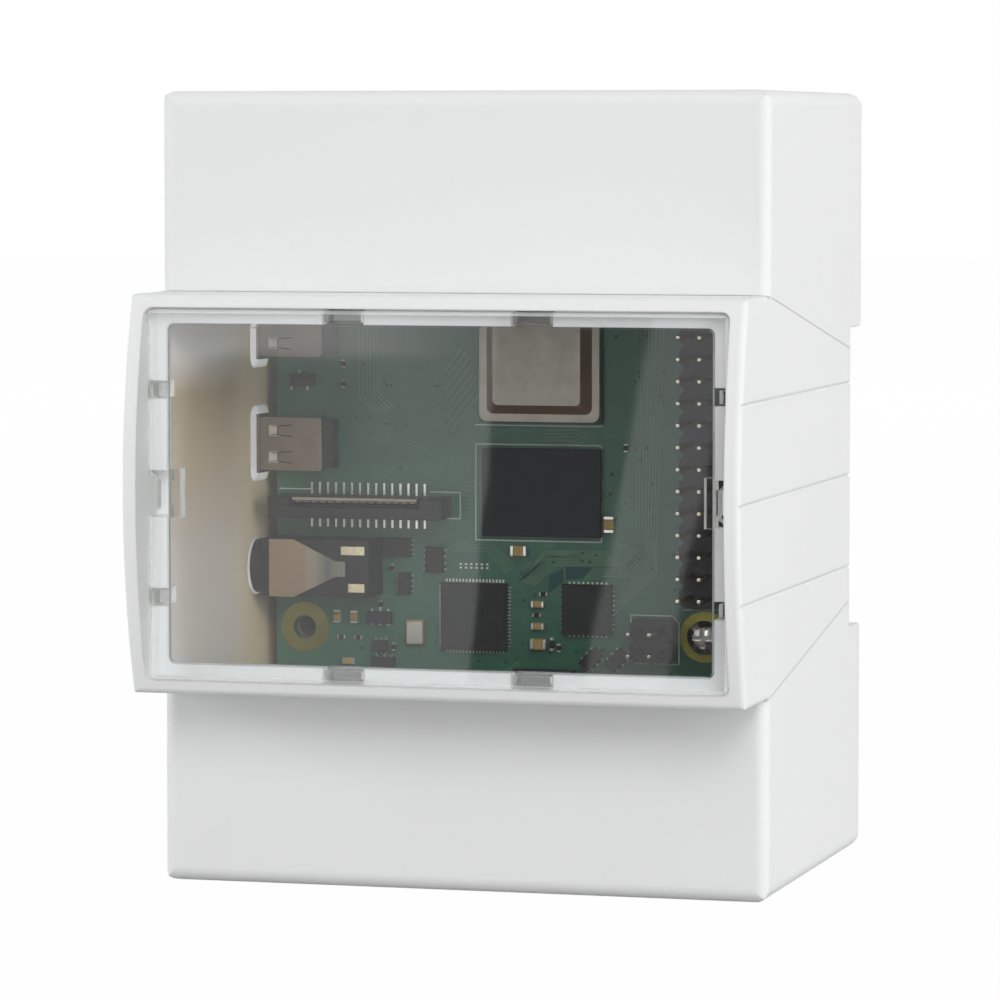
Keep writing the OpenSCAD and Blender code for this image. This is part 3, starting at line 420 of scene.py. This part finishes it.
def lid_material():
    """Satin nickel; its sloping sides are painted browner and less metallic, painted shade picked by which
    way they face.
    """
    mat, tree, shader = material("satin_nickel")
    flat = mottled(tree, 500.0, (0.285, 0.266, 0.232), (0.335, 0.311, 0.274))
    # Painted shade: sloping faces, picked by their normal, are painted browner and less metallic
    slope = between(tree, maths(tree, "ABSOLUTE", normal_axes(tree)["Y"]), 0.2, 0.93)
    link(tree, mix_colour(tree, slope, flat, (0.30, 0.20, 0.13)), shader.inputs["Base Color"])
    link(tree, maths(tree, "SUBTRACT", 1.0, product(tree, slope, 0.7)), shader.inputs["Metallic"])
    metal_finish(tree, shader, 0.36, 0.48)
    return mat


def plate_material():
    """Sprung bronze, greyer beyond the fold and darker towards its tip: painted shade where the plate bends
    away.
    """
    fold, tip = 5.4, 9.2
    mat, tree, shader = material("sprung_bronze", Metallic=1.0)
    along = map_range(tree, object_axes(tree)["X"], (BOARD_X + fold) * MM, (BOARD_X + tip) * MM)
    # Painted shade: greyer past the fold, darkest towards the tip
    stops = [(0.0, (0.47, 0.375, 0.265)), (0.06, (0.50, 0.44, 0.36)), (0.35, (0.46, 0.42, 0.36)),
             (0.75, (0.24, 0.235, 0.21)), (1.0, (0.30, 0.30, 0.27))]
    link(tree, ramp(tree, along, stops), shader.inputs["Base Color"])
    metal_finish(tree, shader, 0.30, 0.42)
    return mat


def pin_material():
    """Plated pins: dull along their sides, with a painted highlight on their flat tips."""
    tip_highlight_h = 0.05
    mat, tree, shader = material("pin_plate", Metallic=1.0)
    side = mottled(tree, 500.0, (0.24, 0.19, 0.11), (0.30, 0.24, 0.15))
    # Painted highlight: the flat tips are painted pale
    tip = maths(tree, "LESS_THAN", object_axes(tree)["Y"], (BOARD_Y - PIN_TOP + tip_highlight_h) * MM)
    link(tree, mix_colour(tree, tip, side, (0.86, 0.81, 0.66)), shader.inputs["Base Color"])
    vary_roughness(tree, shader, 0.14, 0.24, 1200.0)
    return mat


MATERIALS = {
    "housing": housing_material(),
    "latch": plastic("moulded_grey", (0.36, 0.37, 0.38), 0.42, 0.55, spread=0.05, scale=60.0, bump=0.08),
    "panel": panel_material(),
    "board": board_material(),
    "substrate": plastic("package_green", (0.012, 0.05, 0.032), 0.35, 0.5),
    "shell": metal("tinned_steel", (0.30, 0.26, 0.22), 0.28, 0.42),
    "lid": lid_material(),
    "plate": plate_material(),
    "screw": metal("bright_screw", (0.82, 0.82, 0.80), 0.12, 0.22),
    "chip": plastic("moulding_compound", (0.030, 0.031, 0.032), 0.42, 0.55, gloss=0.2),
    "memory": plastic("memory_compound", (0.018, 0.024, 0.031), 0.36, 0.48, gloss=0.2),
    "ceramic": plastic("tan_ceramic", (0.43, 0.30, 0.11), 0.4, 0.55),
    "crystal": crystal_material(),
    "black": plastic("black_plastic", (0.014, 0.014, 0.015), 0.38, 0.52),
    "grey": plastic("socket_grey", (0.05, 0.046, 0.042), 0.42, 0.55),
    "blue": plastic("blue_plastic", (0.015, 0.06, 0.32), 0.35, 0.5),
    "gold": metal("gold_plate", (0.66, 0.58, 0.40), 0.2, 0.32),
    "pin": pin_material(),
    "tin": metal("tin", (0.80, 0.79, 0.77), 0.24, 0.38),
    "lead": metal("dull_tin", (0.54, 0.52, 0.49), 0.28, 0.40),
    "inductor": plastic("ferrite", (0.05, 0.05, 0.052), 0.5, 0.65),
    "light": plastic("milky_lens", (0.70, 0.68, 0.50), 0.25, 0.4),
    "silk": plastic("printed_white", (0.62, 0.66, 0.62), 0.5, 0.65, spread=0.08),
    "track": plastic("covered_track", (0.14, 0.245, 0.16), 0.34, 0.45, spread=0.15),
    "bare": plastic("bare_laminate", (0.008, 0.060, 0.062), 0.34, 0.45, spread=0.15),
    "comb": plastic("contact_comb", (0.42, 0.36, 0.29), 0.4, 0.5, spread=0.1),
    # Painted shade for the slits in the video sockets
    "slit": plastic("slit_painted_shade", (0.012, 0.011, 0.010), 0.5, 0.6),
    "via": plastic("covered_via", (0.010, 0.045, 0.030), 0.4, 0.55),
    "ring": metal("bare_copper", (0.31, 0.28, 0.07), 0.38, 0.5),
}

NODE_LOOKS = {
    "housing": ["rear_base", "front_frame", "upper_end_cover", "lower_end_cover"],
    "latch": ["rail_latch"],
    "panel": ["window_panel"],
    "board": ["circuit_board"],
    "substrate": ["processor_substrate"],
    "shell": ["wireless_shield", "video_socket_upper", "video_socket_lower", "power_socket",
              "network_jack_shell", "data_port_inner", "data_port_outer", "memory_card_slot"],
    "lid": ["processor_lid"],
    "plate": ["audio_jack_plate"],
    "screw": ["board_screws"],
    "chip": ["network_chip", "port_chip", "power_chip", "small_chips", "resistors"],
    "memory": ["memory_chip"],
    "ceramic": ["capacitors"],
    "crystal": ["crystal_can"],
    "black": ["header_strip", "aux_header_strip", "video_inserts", "power_insert", "audio_jack_body",
              "network_jack_insert", "data_tongues_outer", "camera_ribbon_collar", "display_ribbon_collar"],
    "grey": ["camera_ribbon_socket", "display_ribbon_socket"],
    "blue": ["data_tongues_inner"],
    "gold": ["audio_jack_tabs"],
    "pin": ["header_pins", "aux_header_pins"],
    "tin": ["camera_ribbon_pins", "display_ribbon_pins", "part_terminals"],
    "inductor": ["inductors"],
    "light": ["status_lights"],
}


def dress_nodes():
    for look, names in NODE_LOOKS.items():
        for name in names:
            mesh = NODES[name].data
            mesh.materials.clear()
            mesh.materials.append(MATERIALS[look])


# Mesh pieces on the board


class Piece:
    """Collects closed prisms in board coordinates and makes one object of them."""

    def __init__(self):
        self.points, self.faces = [], []

    def prism(self, outline, low, high):
        """Outline of (u, v) points, raised from height low to high."""
        start, count = len(self.points), len(outline)
        for w in (low, high):
            self.points += [board_point(u, v, w) for u, v in outline]
        bottom = list(range(start, start + count))
        top = [i + count for i in bottom]
        self.faces.append(top)
        self.faces.append(bottom[::-1])
        for i in range(count):
            j = (i + 1) % count
            self.faces.append([bottom[i], bottom[j], top[j], top[i]])

    def box(self, u, v, length, width, low, high, angle=0.0):
        """Box centred on (u, v); length runs along u before it is turned."""
        c, s = math.cos(math.radians(angle)), math.sin(math.radians(angle))
        a, b = length / 2, width / 2
        corners = [(-a, -b), (a, -b), (a, b), (-a, b)]
        self.prism([(u + p * c - q * s, v + p * s + q * c) for p, q in corners], low, high)

    def line(self, a, b, width, low, high):
        """Bar from a to b, each (u, v)."""
        du, dv = b[0] - a[0], b[1] - a[1]
        length, angle = math.hypot(du, dv) + width, math.degrees(math.atan2(dv, du))
        self.box((a[0] + b[0]) / 2, (a[1] + b[1]) / 2, length, width, low, high, angle)

    def path(self, points, width, low, high):
        for a, b in zip(points, points[1:]):
            self.line(a, b, width, low, high)

    def disc(self, u, v, radius, low, high, sides):
        turns = [2 * math.pi * i / sides for i in range(sides)]
        self.prism([(u + radius * math.cos(t), v + radius * math.sin(t)) for t in turns], low, high)

    def ring(self, u, v, inner, outer, low, high, sides=48):
        start = len(self.points)
        for w in (low, high):
            for radius in (inner, outer):
                for i in range(sides):
                    a = 2 * math.pi * i / sides
                    self.points.append(board_point(u + radius * math.cos(a), v + radius * math.sin(a), w))

        def at(layer, side, i):
            return start + (2 * layer + side) * sides + i % sides

        for i in range(sides):
            self.faces.append([at(1, 0, i), at(1, 1, i), at(1, 1, i + 1), at(1, 0, i + 1)])
            self.faces.append([at(0, 0, i), at(0, 0, i + 1), at(0, 1, i + 1), at(0, 1, i)])
            self.faces.append([at(0, 1, i), at(0, 1, i + 1), at(1, 1, i + 1), at(1, 1, i)])
            self.faces.append([at(0, 0, i), at(1, 0, i), at(1, 0, i + 1), at(0, 0, i + 1)])

    def make(self, name, look, slot, body="case"):
        mesh = bpy.data.meshes.new(name)
        mesh.from_pydata(self.points, [], self.faces)
        mesh.validate()
        work = bmesh.new()
        work.from_mesh(mesh)
        bmesh.ops.recalc_face_normals(work, faces=work.faces)
        work.to_mesh(mesh)
        work.free()
        mesh.materials.append(MATERIALS[look])
        obj = bpy.data.objects.new(name, mesh)
        bpy.context.scene.collection.objects.link(obj)
        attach(obj, body)


# Printed outlines of parts: processor, memory chip, video socket, ribbon socket, aux header and header end
PRINTED = [
    [(21.4, 40.1), (37.05, 40.1), (37.05, 24.7)],
    [(39.3, 24.7), (39.3, 40.05), (50.65, 40.05), (50.65, 24.7), (39.3, 24.7)],
    [(45.0, 0.4), (45.0, 4.4)],
    [(45.1, 19.2), (45.1, 22.8), (48.2, 22.8), (48.2, 19.2)],
    [(60.4, 43.6), (59.1, 43.6), (59.1, 48.6), (59.9, 49.4), (64.8, 49.4), (64.8, 44.0)],
    [(58.35, 49.9), (58.35, 54.6)],
]
PRINT_W = 0.14
HEADER_MARK = 0.7


def printed_lines():
    """White print: outlines of parts and header marks, with no lettering."""
    silk = Piece()
    for outline in PRINTED:
        silk.path(outline, PRINT_W, 0.0, SILK_H)
    for i in range(1, COLUMNS):
        u = HEADER_U[0] + i * PITCH
        silk.box(u, HEADER_V[0] + PRINT_W, HEADER_MARK, PRINT_W, 0.0, SILK_H)
    silk.make("printed_lines", "silk", "light")


# Square chips: node, lead pitch, leads a side, lead length and width
SQUARE_CHIPS = [("network_chip", 0.41, 18, 0.5, 0.2), ("port_chip", 0.56, 9, 0.36, 0.22),
                ("power_chip", 0.5, 8, 0.55, 0.24)]
LEAD_UNDER = 0.12

# Small chips: place, length, width, turn, leads a side and whether the leads are on the two ends
SMALL_CHIPS = [
    (53.1, 19.7, 3.0, 2.2, 0, 4, False), (51.7, 15.1, 2.2, 3.4, 0, 4, False),
    (56.0, 16.0, 2.6, 1.5, 0, 4, False), (60.1, 12.9, 1.4, 3.0, 0, 3, True),
    (63.5, 13.0, 1.4, 1.9, 0, 3, True), (65.6, 13.4, 1.6, 2.8, 0, 3, True),
    (64.4, 38.9, 2.6, 1.5, -45, 3, False), (64.4, 42.0, 2.6, 1.5, -45, 3, False),
]
SMALL_LEAD_L, SMALL_LEAD_W, SMALL_LEAD_OUT = 0.32, 0.26, 0.12

# Lands under a row of open pads, and round the three-legged part by the upper video socket
PAD_ROWS, PAD_V, PAD_PITCH, PAD_COUNT, PAD_L, PAD_W = (53.55, 53.98), 22.85, 0.65, 6, 0.22, 0.28
LEGS, LEG_L, LEG_W = ((33.0, 1.9), (33.0, 3.9), (31.0, 2.9)), 0.45, 0.3


def centred(count, pitch):
    """Places of a row of copies round zero."""
    return [(i - (count - 1) / 2) * pitch for i in range(count)]


def chip_leads():
    """Solder lands round the square chips and beside the small ones."""
    leads = Piece()
    for name, pitch, count, length, width in SQUARE_CHIPS:
        along_u, along_v, _ = board_span(name)
        u, v = middle(along_u), middle(along_v)
        reach = (along_u[1] - along_u[0]) / 2 + length / 2 - LEAD_UNDER
        for place in centred(count, pitch):
            for side in (-1, 1):
                leads.box(u + side * reach, v + place, length, width, 0.0, LAND_H)
                leads.box(u + place, v + side * reach, width, length, 0.0, LAND_H)
    for u, v, length, width, turn, count, on_ends in SMALL_CHIPS:
        span, across = (width, length) if on_ends else (length, width)
        size = (SMALL_LEAD_L, SMALL_LEAD_W) if on_ends else (SMALL_LEAD_W, SMALL_LEAD_L)
        c, s = math.cos(math.radians(turn)), math.sin(math.radians(turn))
        for along in centred(count, span / count):
            for side in (-1, 1):
                reach = side * (across / 2 + SMALL_LEAD_OUT)
                a, b = (reach, along) if on_ends else (along, reach)
                leads.box(u + a * c - b * s, v + a * s + b * c, *size, 0.0, LAND_H, turn)
    for i in range(PAD_COUNT):
        for u in PAD_ROWS:
            leads.box(u, PAD_V + i * PAD_PITCH, PAD_L, PAD_W, 0.0, LAND_H)
    for u, v in LEGS:
        leads.box(u, v, LEG_L, LEG_W, 0.0, LAND_H)
    leads.make("chip_leads", "lead", "tin")


# Bundles of tracks: points of the first line, points of the last line and number of lines
BUNDLES = [
    ([(53.3, 30.6), (53.2, 31.9), (51.8, 33.0), (51.6, 41.4), (50.8, 42.2)],
     [(55.4, 30.1), (54.0, 31.6), (52.4, 33.6), (52.4, 41.4), (50.9, 43.2)], 6),
    ([(55.4, 30.1), (52.4, 33.4), (52.5, 41.5), (51.1, 42.9)],
     [(55.9, 31.9), (53.5, 34.4), (53.3, 42.6), (51.5, 44.4)], 7),
    ([(55.1, 38.0), (53.7, 39.2), (53.6, 42.7), (52.0, 44.6)],
     [(55.1, 39.6), (54.6, 40.1), (54.7, 44.0), (53.1, 45.6)], 5),
    ([(57.7, 41.5), (57.4, 42.1), (52.9, 45.5), (50.3, 45.6)],
     [(59.2, 41.6), (58.7, 42.1), (54.2, 46.7), (50.3, 46.8)], 7),
    ([(50.5, 44.2), (21.0, 44.4)], [(50.4, 46.7), (21.0, 47.6)], 8),
    ([(37.0, 22.8), (35.3, 24.3)], [(39.9, 24.0), (37.3, 26.7)], 10),
    ([(30.9, 20.8), (27.7, 23.2)], [(38.0, 21.5), (33.2, 25.4)], 8),
    ([(43.8, 23.7), (43.8, 24.6)], [(47.5, 23.7), (47.4, 24.6)], 8),
    ([(37.6, 33.3), (37.5, 37.1), (38.3, 38.4)], [(38.8, 32.9), (38.7, 36.5), (39.4, 37.6)], 4),
    ([(22.0, 10.4), (34.0, 10.4), (36.0, 12.4)], [(22.0, 12.6), (33.2, 12.6), (35.2, 14.6)], 6),
    ([(66.2, 22.0), (66.2, 28.4), (64.9, 30.0)], [(67.4, 22.0), (67.4, 29.0), (66.4, 30.4)], 5),
    ([(52.0, 20.6), (52.0, 26.0), (54.6, 28.6)], [(50.9, 22.4), (50.9, 26.6), (53.6, 29.4)], 5),
]
TRACK_W = 0.085


def blend(a, b, share):
    """Point part of the way from a to b."""
    return a[0] + (b[0] - a[0]) * share, a[1] + (b[1] - a[1]) * share


def tracks():
    """Bundles of covered copper tracks, each drawn between its first and its last line."""
    copper = Piece()
    for first, last, count in BUNDLES:
        for i in range(count):
            share = i / (count - 1)
            copper.path([blend(a, b, share) for a, b in zip(first, last)], TRACK_W, 0.0, TRACK_H)
    copper.make("board_tracks", "track", "board")


BARE = [
    [(53.6, 35.7), (53.6, 39.0), (55.0, 37.7), (55.1, 35.7)],
    [(54.7, 33.6), (53.8, 35.4), (55.4, 35.4), (55.9, 34.7), (56.8, 33.6)],
    [(54.5, 30.1), (53.3, 32.0), (53.2, 33.3), (55.3, 30.6)],
    [(53.4, 42.9), (51.9, 44.2), (52.3, 44.5), (53.4, 43.6)],
]


def bare_patches():
    """Places without copper under the solder resist, which look darker and bluer."""
    bare = Piece()
    for outline in BARE:
        bare.prism(outline, 0.0, TRACK_H / 2)
    bare.make("bare_patches", "bare", "board")


# Covered through-holes: number, seed, region, radii, clearance from mounting holes and kept-clear boxes as
# (low u, low v, high u, high v)
VIA_COUNT, VIA_SEED, VIA_SIDES = 170, 7, 10
VIA_U, VIA_V, VIA_R, HOLE_CLEAR = (20.5, 69.0), (1.0, 49.0), (0.13, 0.2), 3.6
BLOCKED = [(21.0, 24.5, 37.6, 41.0), (39.0, 24.0, 51.2, 41.0), (55.2, 20.0, 64.6, 29.2),
           (55.0, 34.8, 62.2, 42.2), (43.4, 0.0, 49.6, 23.0), (50.2, 0.0, 58.0, 12.6),
           (22.0, 0.0, 43.2, 8.2), (6.0, 49.6, 58.6, 56.0)]


def vias():
    """Small covered through-holes, scattered clear of the larger parts."""
    draw = random.Random(VIA_SEED)
    dots = Piece()
    placed = 0
    while placed < VIA_COUNT:
        u, v = draw.uniform(*VIA_U), draw.uniform(*VIA_V)
        if any(a < u < c and b < v < d for a, b, c, d in BLOCKED):
            continue
        if any(math.hypot(u - a, v - b) < HOLE_CLEAR for a, b in HOLES):
            continue
        dots.disc(u, v, draw.uniform(*VIA_R), 0.0, SILK_H, VIA_SIDES)
        placed += 1
    dots.make("board_vias", "via", "board")


RING_R = (1.4, 3.0)


def hole_rings():
    """Bare copper rings round the mounting holes."""
    rings = Piece()
    for u, v in HOLES:
        rings.ring(u, v, *RING_R, 0.0, SILK_H)
    rings.make("hole_rings", "ring", "gold")


# Windows of a video socket: height of its top, distance of a window from the middle, and of its slits
SOCKET_TOP, WINDOW_OFF, FRAME_OFF, SLIT_OFF, SLIT_ANGLE = 3.0, 1.575, 0.6, 0.62, -6.0


def socket_springs():
    """Contact springs in the windows of the two video sockets, and the slits beside them, drawn as thin dark
    marks of painted shade.
    """
    springs, painted_slit_shade = Piece(), Piece()
    top = SOCKET_TOP
    for name in ("video_socket_upper", "video_socket_lower"):
        socket = middle(board_span(name)[0])
        for side in (-1, 1):
            u = socket + side * WINDOW_OFF
            springs.box(u, 0.62, 0.9, 0.86, top - 0.34, top - 0.08)
            springs.box(u, 0.12, 1.24, 0.2, top - 0.3, top + 0.05)
            for edge in (-1, 1):
                springs.box(u + edge * FRAME_OFF, 0.6, 0.1, 1.1, top - 0.3, top + 0.05)
                # Painted shade: a thin dark mark for each slit
                painted_slit_shade.box(u + edge * SLIT_OFF, 2.1, 0.13, 1.6, top - 0.01, top + 0.012, edge * SLIT_ANGLE)
    springs.make("socket_springs", "tin", "metal")
    painted_slit_shade.make("socket_slit_painted_shade", "slit", "black_plastic")


RIBBON_COUNT, RIBBON_PITCH, COMB_LENGTH = 15, 1.0, 15.3


def ribbon_combs():
    """Pale contact combs at the back of both ribbon sockets."""
    combs, teeth = Piece(), Piece()
    for name in ("camera_ribbon_socket", "display_ribbon_socket"):
        along_u, along_v, along_w = board_span(name)
        back, v, top = along_u[0], middle(along_v), along_w[1]
        combs.box(back + 0.19, v, 0.3, COMB_LENGTH, top, top + 0.02)
        for place in centred(RIBBON_COUNT, RIBBON_PITCH):
            teeth.box(back + 0.47, v + place, 0.22, 0.5, top - 1.2, top - 0.1)
    combs.make("ribbon_combs", "comb", "grey_plastic")
    teeth.make("ribbon_teeth", "comb", "grey_plastic")


# Width of the rounded edges of nodes that are plain blocks in the solids, in millimetres
SOFT_EDGES = [
    (0.30, ["rail_latch"]),
    (0.22, ["header_pins", "aux_header_pins"]),
    (0.10, ["capacitors", "part_terminals", "crystal_can"]),
    (0.05, ["network_chip", "port_chip", "memory_chip", "small_chips", "resistors", "power_chip"]),
    (0.12, ["camera_ribbon_collar", "display_ribbon_collar", "inductors"]),
]
WELD_GAP, FLAT_ANGLE, SHARP_ANGLE = 0.002, 0.2, 50


def soften_edges():
    """Small rounded edges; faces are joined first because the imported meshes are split."""
    for width, names in SOFT_EDGES:
        for name in names:
            modifiers = NODES[name].modifiers
            weld = modifiers.new("joined_faces", "WELD")
            weld.merge_threshold = WELD_GAP * MM
            flat = modifiers.new("whole_faces", "DECIMATE")
            flat.decimate_type = "DISSOLVE"
            flat.angle_limit = math.radians(FLAT_ANGLE)
            bevel = modifiers.new("soft_edges", "BEVEL")
            bevel.width = width * MM
            bevel.segments = 2
            bevel.limit_method = "ANGLE"
            bevel.angle_limit = math.radians(SHARP_ANGLE)
            bevel.harden_normals = True


# Light, floor and camera

# Surroundings: level, and what is added towards the top
SKY_LEVEL, SKY_RISE = 0.38, 0.08

# Cards ahead of the panel: each edge is its place across, its slope and its softness, over the distance ahead
LEFT_CARD_START = (-0.55, 0.0, 0.05)
GAP_START = (-0.2775, 0.083, 0.0008)
GAP_END = (-0.20, 0.0, 0.02)
RIGHT_CARD_START = (-0.2416, 0.194, 0.0010)
RIGHT_CARD_END = (-0.2238, 0.211, 0.0012)
CORNER_FADE = (-0.300, 0.0, 0.018)
CORNER_ACROSS, CORNER_RISE, CORNER_RADII = -0.3353, -0.0565, (0.0105, 0.0150)

# Brightness of mirrored rays without a card, and what each card adds
SHINE, LEFT_SHINE, GAP_SHINE, RIGHT_SHINE, CORNER_SHINE = 0.56, 0.44, -0.38, 0.70, 1.1


def panel_shine(tree, axes):
    """Brightness that mirrored rays meet: two white cards with slanted edges, a dark gap between them
    and a brighter upper corner, which show as haze on the clear panel."""
    ahead = maths(tree, "MAXIMUM", product(tree, axes["Y"], -1.0), 0.001)
    across = maths(tree, "DIVIDE", axes["X"], ahead)
    rise = maths(tree, "DIVIDE", axes["Z"], ahead)

    def right_of(place, slope, soft):
        """Zero left of a slanted edge, one right of it."""
        slanted = maths(tree, "SUBTRACT", across, product(tree, rise, slope))
        return map_range(tree, slanted, place - soft, place + soft, smooth=True)

    gap_start = right_of(*GAP_START)
    left_card = maths(tree, "SUBTRACT", right_of(*LEFT_CARD_START), gap_start)
    gap = maths(tree, "SUBTRACT", gap_start, right_of(*GAP_END))
    right_card = maths(tree, "SUBTRACT", right_of(*RIGHT_CARD_START), right_of(*RIGHT_CARD_END))
    left_of_corner = maths(tree, "MAXIMUM", maths(tree, "SUBTRACT", CORNER_ACROSS, across), 0.0)
    above_corner = maths(tree, "MAXIMUM", maths(tree, "SUBTRACT", rise, CORNER_RISE), 0.0)
    squares = [maths(tree, "POWER", side, 2.0) for side in (left_of_corner, above_corner)]
    from_corner = maths(tree, "SQRT", maths(tree, "ADD", *squares))
    faded = maths(tree, "SUBTRACT", left_card, right_of(*CORNER_FADE))
    corner_card = product(tree, map_range(tree, from_corner, *CORNER_RADII, smooth=True), faded)
    corner_card = maths(tree, "MAXIMUM", corner_card, 0.0)
    shine = SHINE
    for card, level in ((left_card, LEFT_SHINE), (gap, GAP_SHINE), (right_card, RIGHT_SHINE),
                        (corner_card, CORNER_SHINE)):
        shine = maths(tree, "ADD", shine, product(tree, card, level))
    return shine


def choose(tree, factor, a, b):
    """Number a where the factor is zero, b where it is one; b may be a plain number."""
    node = new_node(tree, "ShaderNodeMix", data_type="FLOAT")
    link(tree, factor, node.inputs[0])
    link(tree, a, node.inputs[2])
    if isinstance(b, float):
        node.inputs[3].default_value = b
    else:
        link(tree, b, node.inputs[3])
    return node.outputs[0]


def make_world():
    """Even white surroundings, a little brighter above, with cards for mirrored rays towards the front.
    The camera sees plain white, through the panel too."""
    world = bpy.data.worlds.new("studio")
    bpy.context.scene.world = world
    world.use_nodes = True
    tree = world.node_tree
    tree.nodes.clear()
    axes = separate(tree, new_node(tree, "ShaderNodeTexCoord").outputs["Generated"])
    level = maths(tree, "ADD", product(tree, axes["Z"], SKY_RISE), SKY_LEVEL)
    rays = new_node(tree, "ShaderNodeLightPath").outputs
    behind = maths(tree, "GREATER_THAN", axes["Y"], 0.0)
    through = product(tree, rays["Is Transmission Ray"], behind)
    back = maths(tree, "SUBTRACT", rays["Is Transmission Ray"], through)
    mirrored = maths(tree, "MAXIMUM", rays["Is Glossy Ray"], back)
    strength = choose(tree, mirrored, level, panel_shine(tree, axes))
    seen = maths(tree, "MAXIMUM", rays["Is Camera Ray"], through)
    background = new_node(tree, "ShaderNodeBackground")
    background.inputs["Color"].default_value = (1.0, 1.0, 1.0, 1.0)
    link(tree, choose(tree, seen, strength, 1.0), background.inputs["Strength"])
    output = new_node(tree, "ShaderNodeOutputWorld")
    link(tree, background.outputs[0], output.inputs["Surface"])


FLOOR_HALF, FLOOR_DROP, FLOOR_GLOW = 3.0, 0.0002, 0.985


def make_floor():
    """Pale floor that stays near white to the camera and keeps a faint shadow."""
    mat, tree, shader = material("pale_floor", Roughness=0.9, Specular_IOR_Level=0.1)
    vary(tree, shader, (0.52, 0.52, 0.52), 0.01, 20.0)
    glow = new_node(tree, "ShaderNodeEmission")
    glow.inputs["Strength"].default_value = 1.0
    seen = new_node(tree, "ShaderNodeLightPath").outputs["Is Camera Ray"]
    mix_shaders(tree, product(tree, seen, FLOOR_GLOW), shader.outputs[0], glow.outputs[0])
    mesh = bpy.data.meshes.new("floor")
    corners = [(-1, -1), (1, -1), (1, 1), (-1, 1)]
    mesh.from_pydata([(x * FLOOR_HALF, y * FLOOR_HALF, 0) for x, y in corners], [], [(0, 1, 2, 3)])
    mesh.materials.append(mat)
    floor = bpy.data.objects.new("floor", mesh)
    floor.location = (0.0, 0.0, -FLOOR_DROP)
    floor.visible_glossy = False
    floor.visible_transmission = False
    bpy.context.scene.collection.objects.link(floor)


# Lamps: name, place and side in metres, and power in watts
LAMP_TARGET = Vector((0.0, 0.0, 0.05))
LAMPS = [
    ("key_soft", (0.40, -0.80, 0.55), 0.45, 3.6),
    ("front_soft", (0.95, -0.75, 0.2), 0.5, 3.6),
    ("right_soft", (1.2, 0.3, 0.3), 0.6, 5.6),
    ("left_soft", (-1.0, -0.2, 0.3), 0.6, 6.0),
    ("rear_soft", (-0.3, 1.2, 0.5), 0.6, 4.5),
]


def make_lamps():
    for name, place, side, power in LAMPS:
        data = bpy.data.lights.new(name, "AREA")
        data.shape = "SQUARE"
        data.size = side
        data.energy = power
        lamp = bpy.data.objects.new(name, data)
        lamp.location = place
        lamp.rotation_euler = (LAMP_TARGET - Vector(place)).to_track_quat("-Z", "Y").to_euler()
        lamp.visible_glossy = False
        bpy.context.scene.collection.objects.link(lamp)


def make_camera():
    data = bpy.data.cameras.new("camera")
    data.sensor_width = SENSOR
    data.lens = CAMERA_LENS
    data.clip_start, data.clip_end = 0.01, 20.0
    camera = bpy.data.objects.new("camera", data)
    camera.location = CAMERA_PLACE
    camera.rotation_euler = CAMERA_FORWARD.to_track_quat("-Z", "Y").to_euler()
    bpy.context.scene.collection.objects.link(camera)
    bpy.context.scene.camera = camera


bpy.context.scene.view_settings.view_transform = "Standard"
dress_nodes()
printed_lines()
chip_leads()
tracks()
vias()
hole_rings()
bare_patches()
socket_springs()
ribbon_combs()
soften_edges()
make_world()
make_floor()
make_lamps()
make_camera()
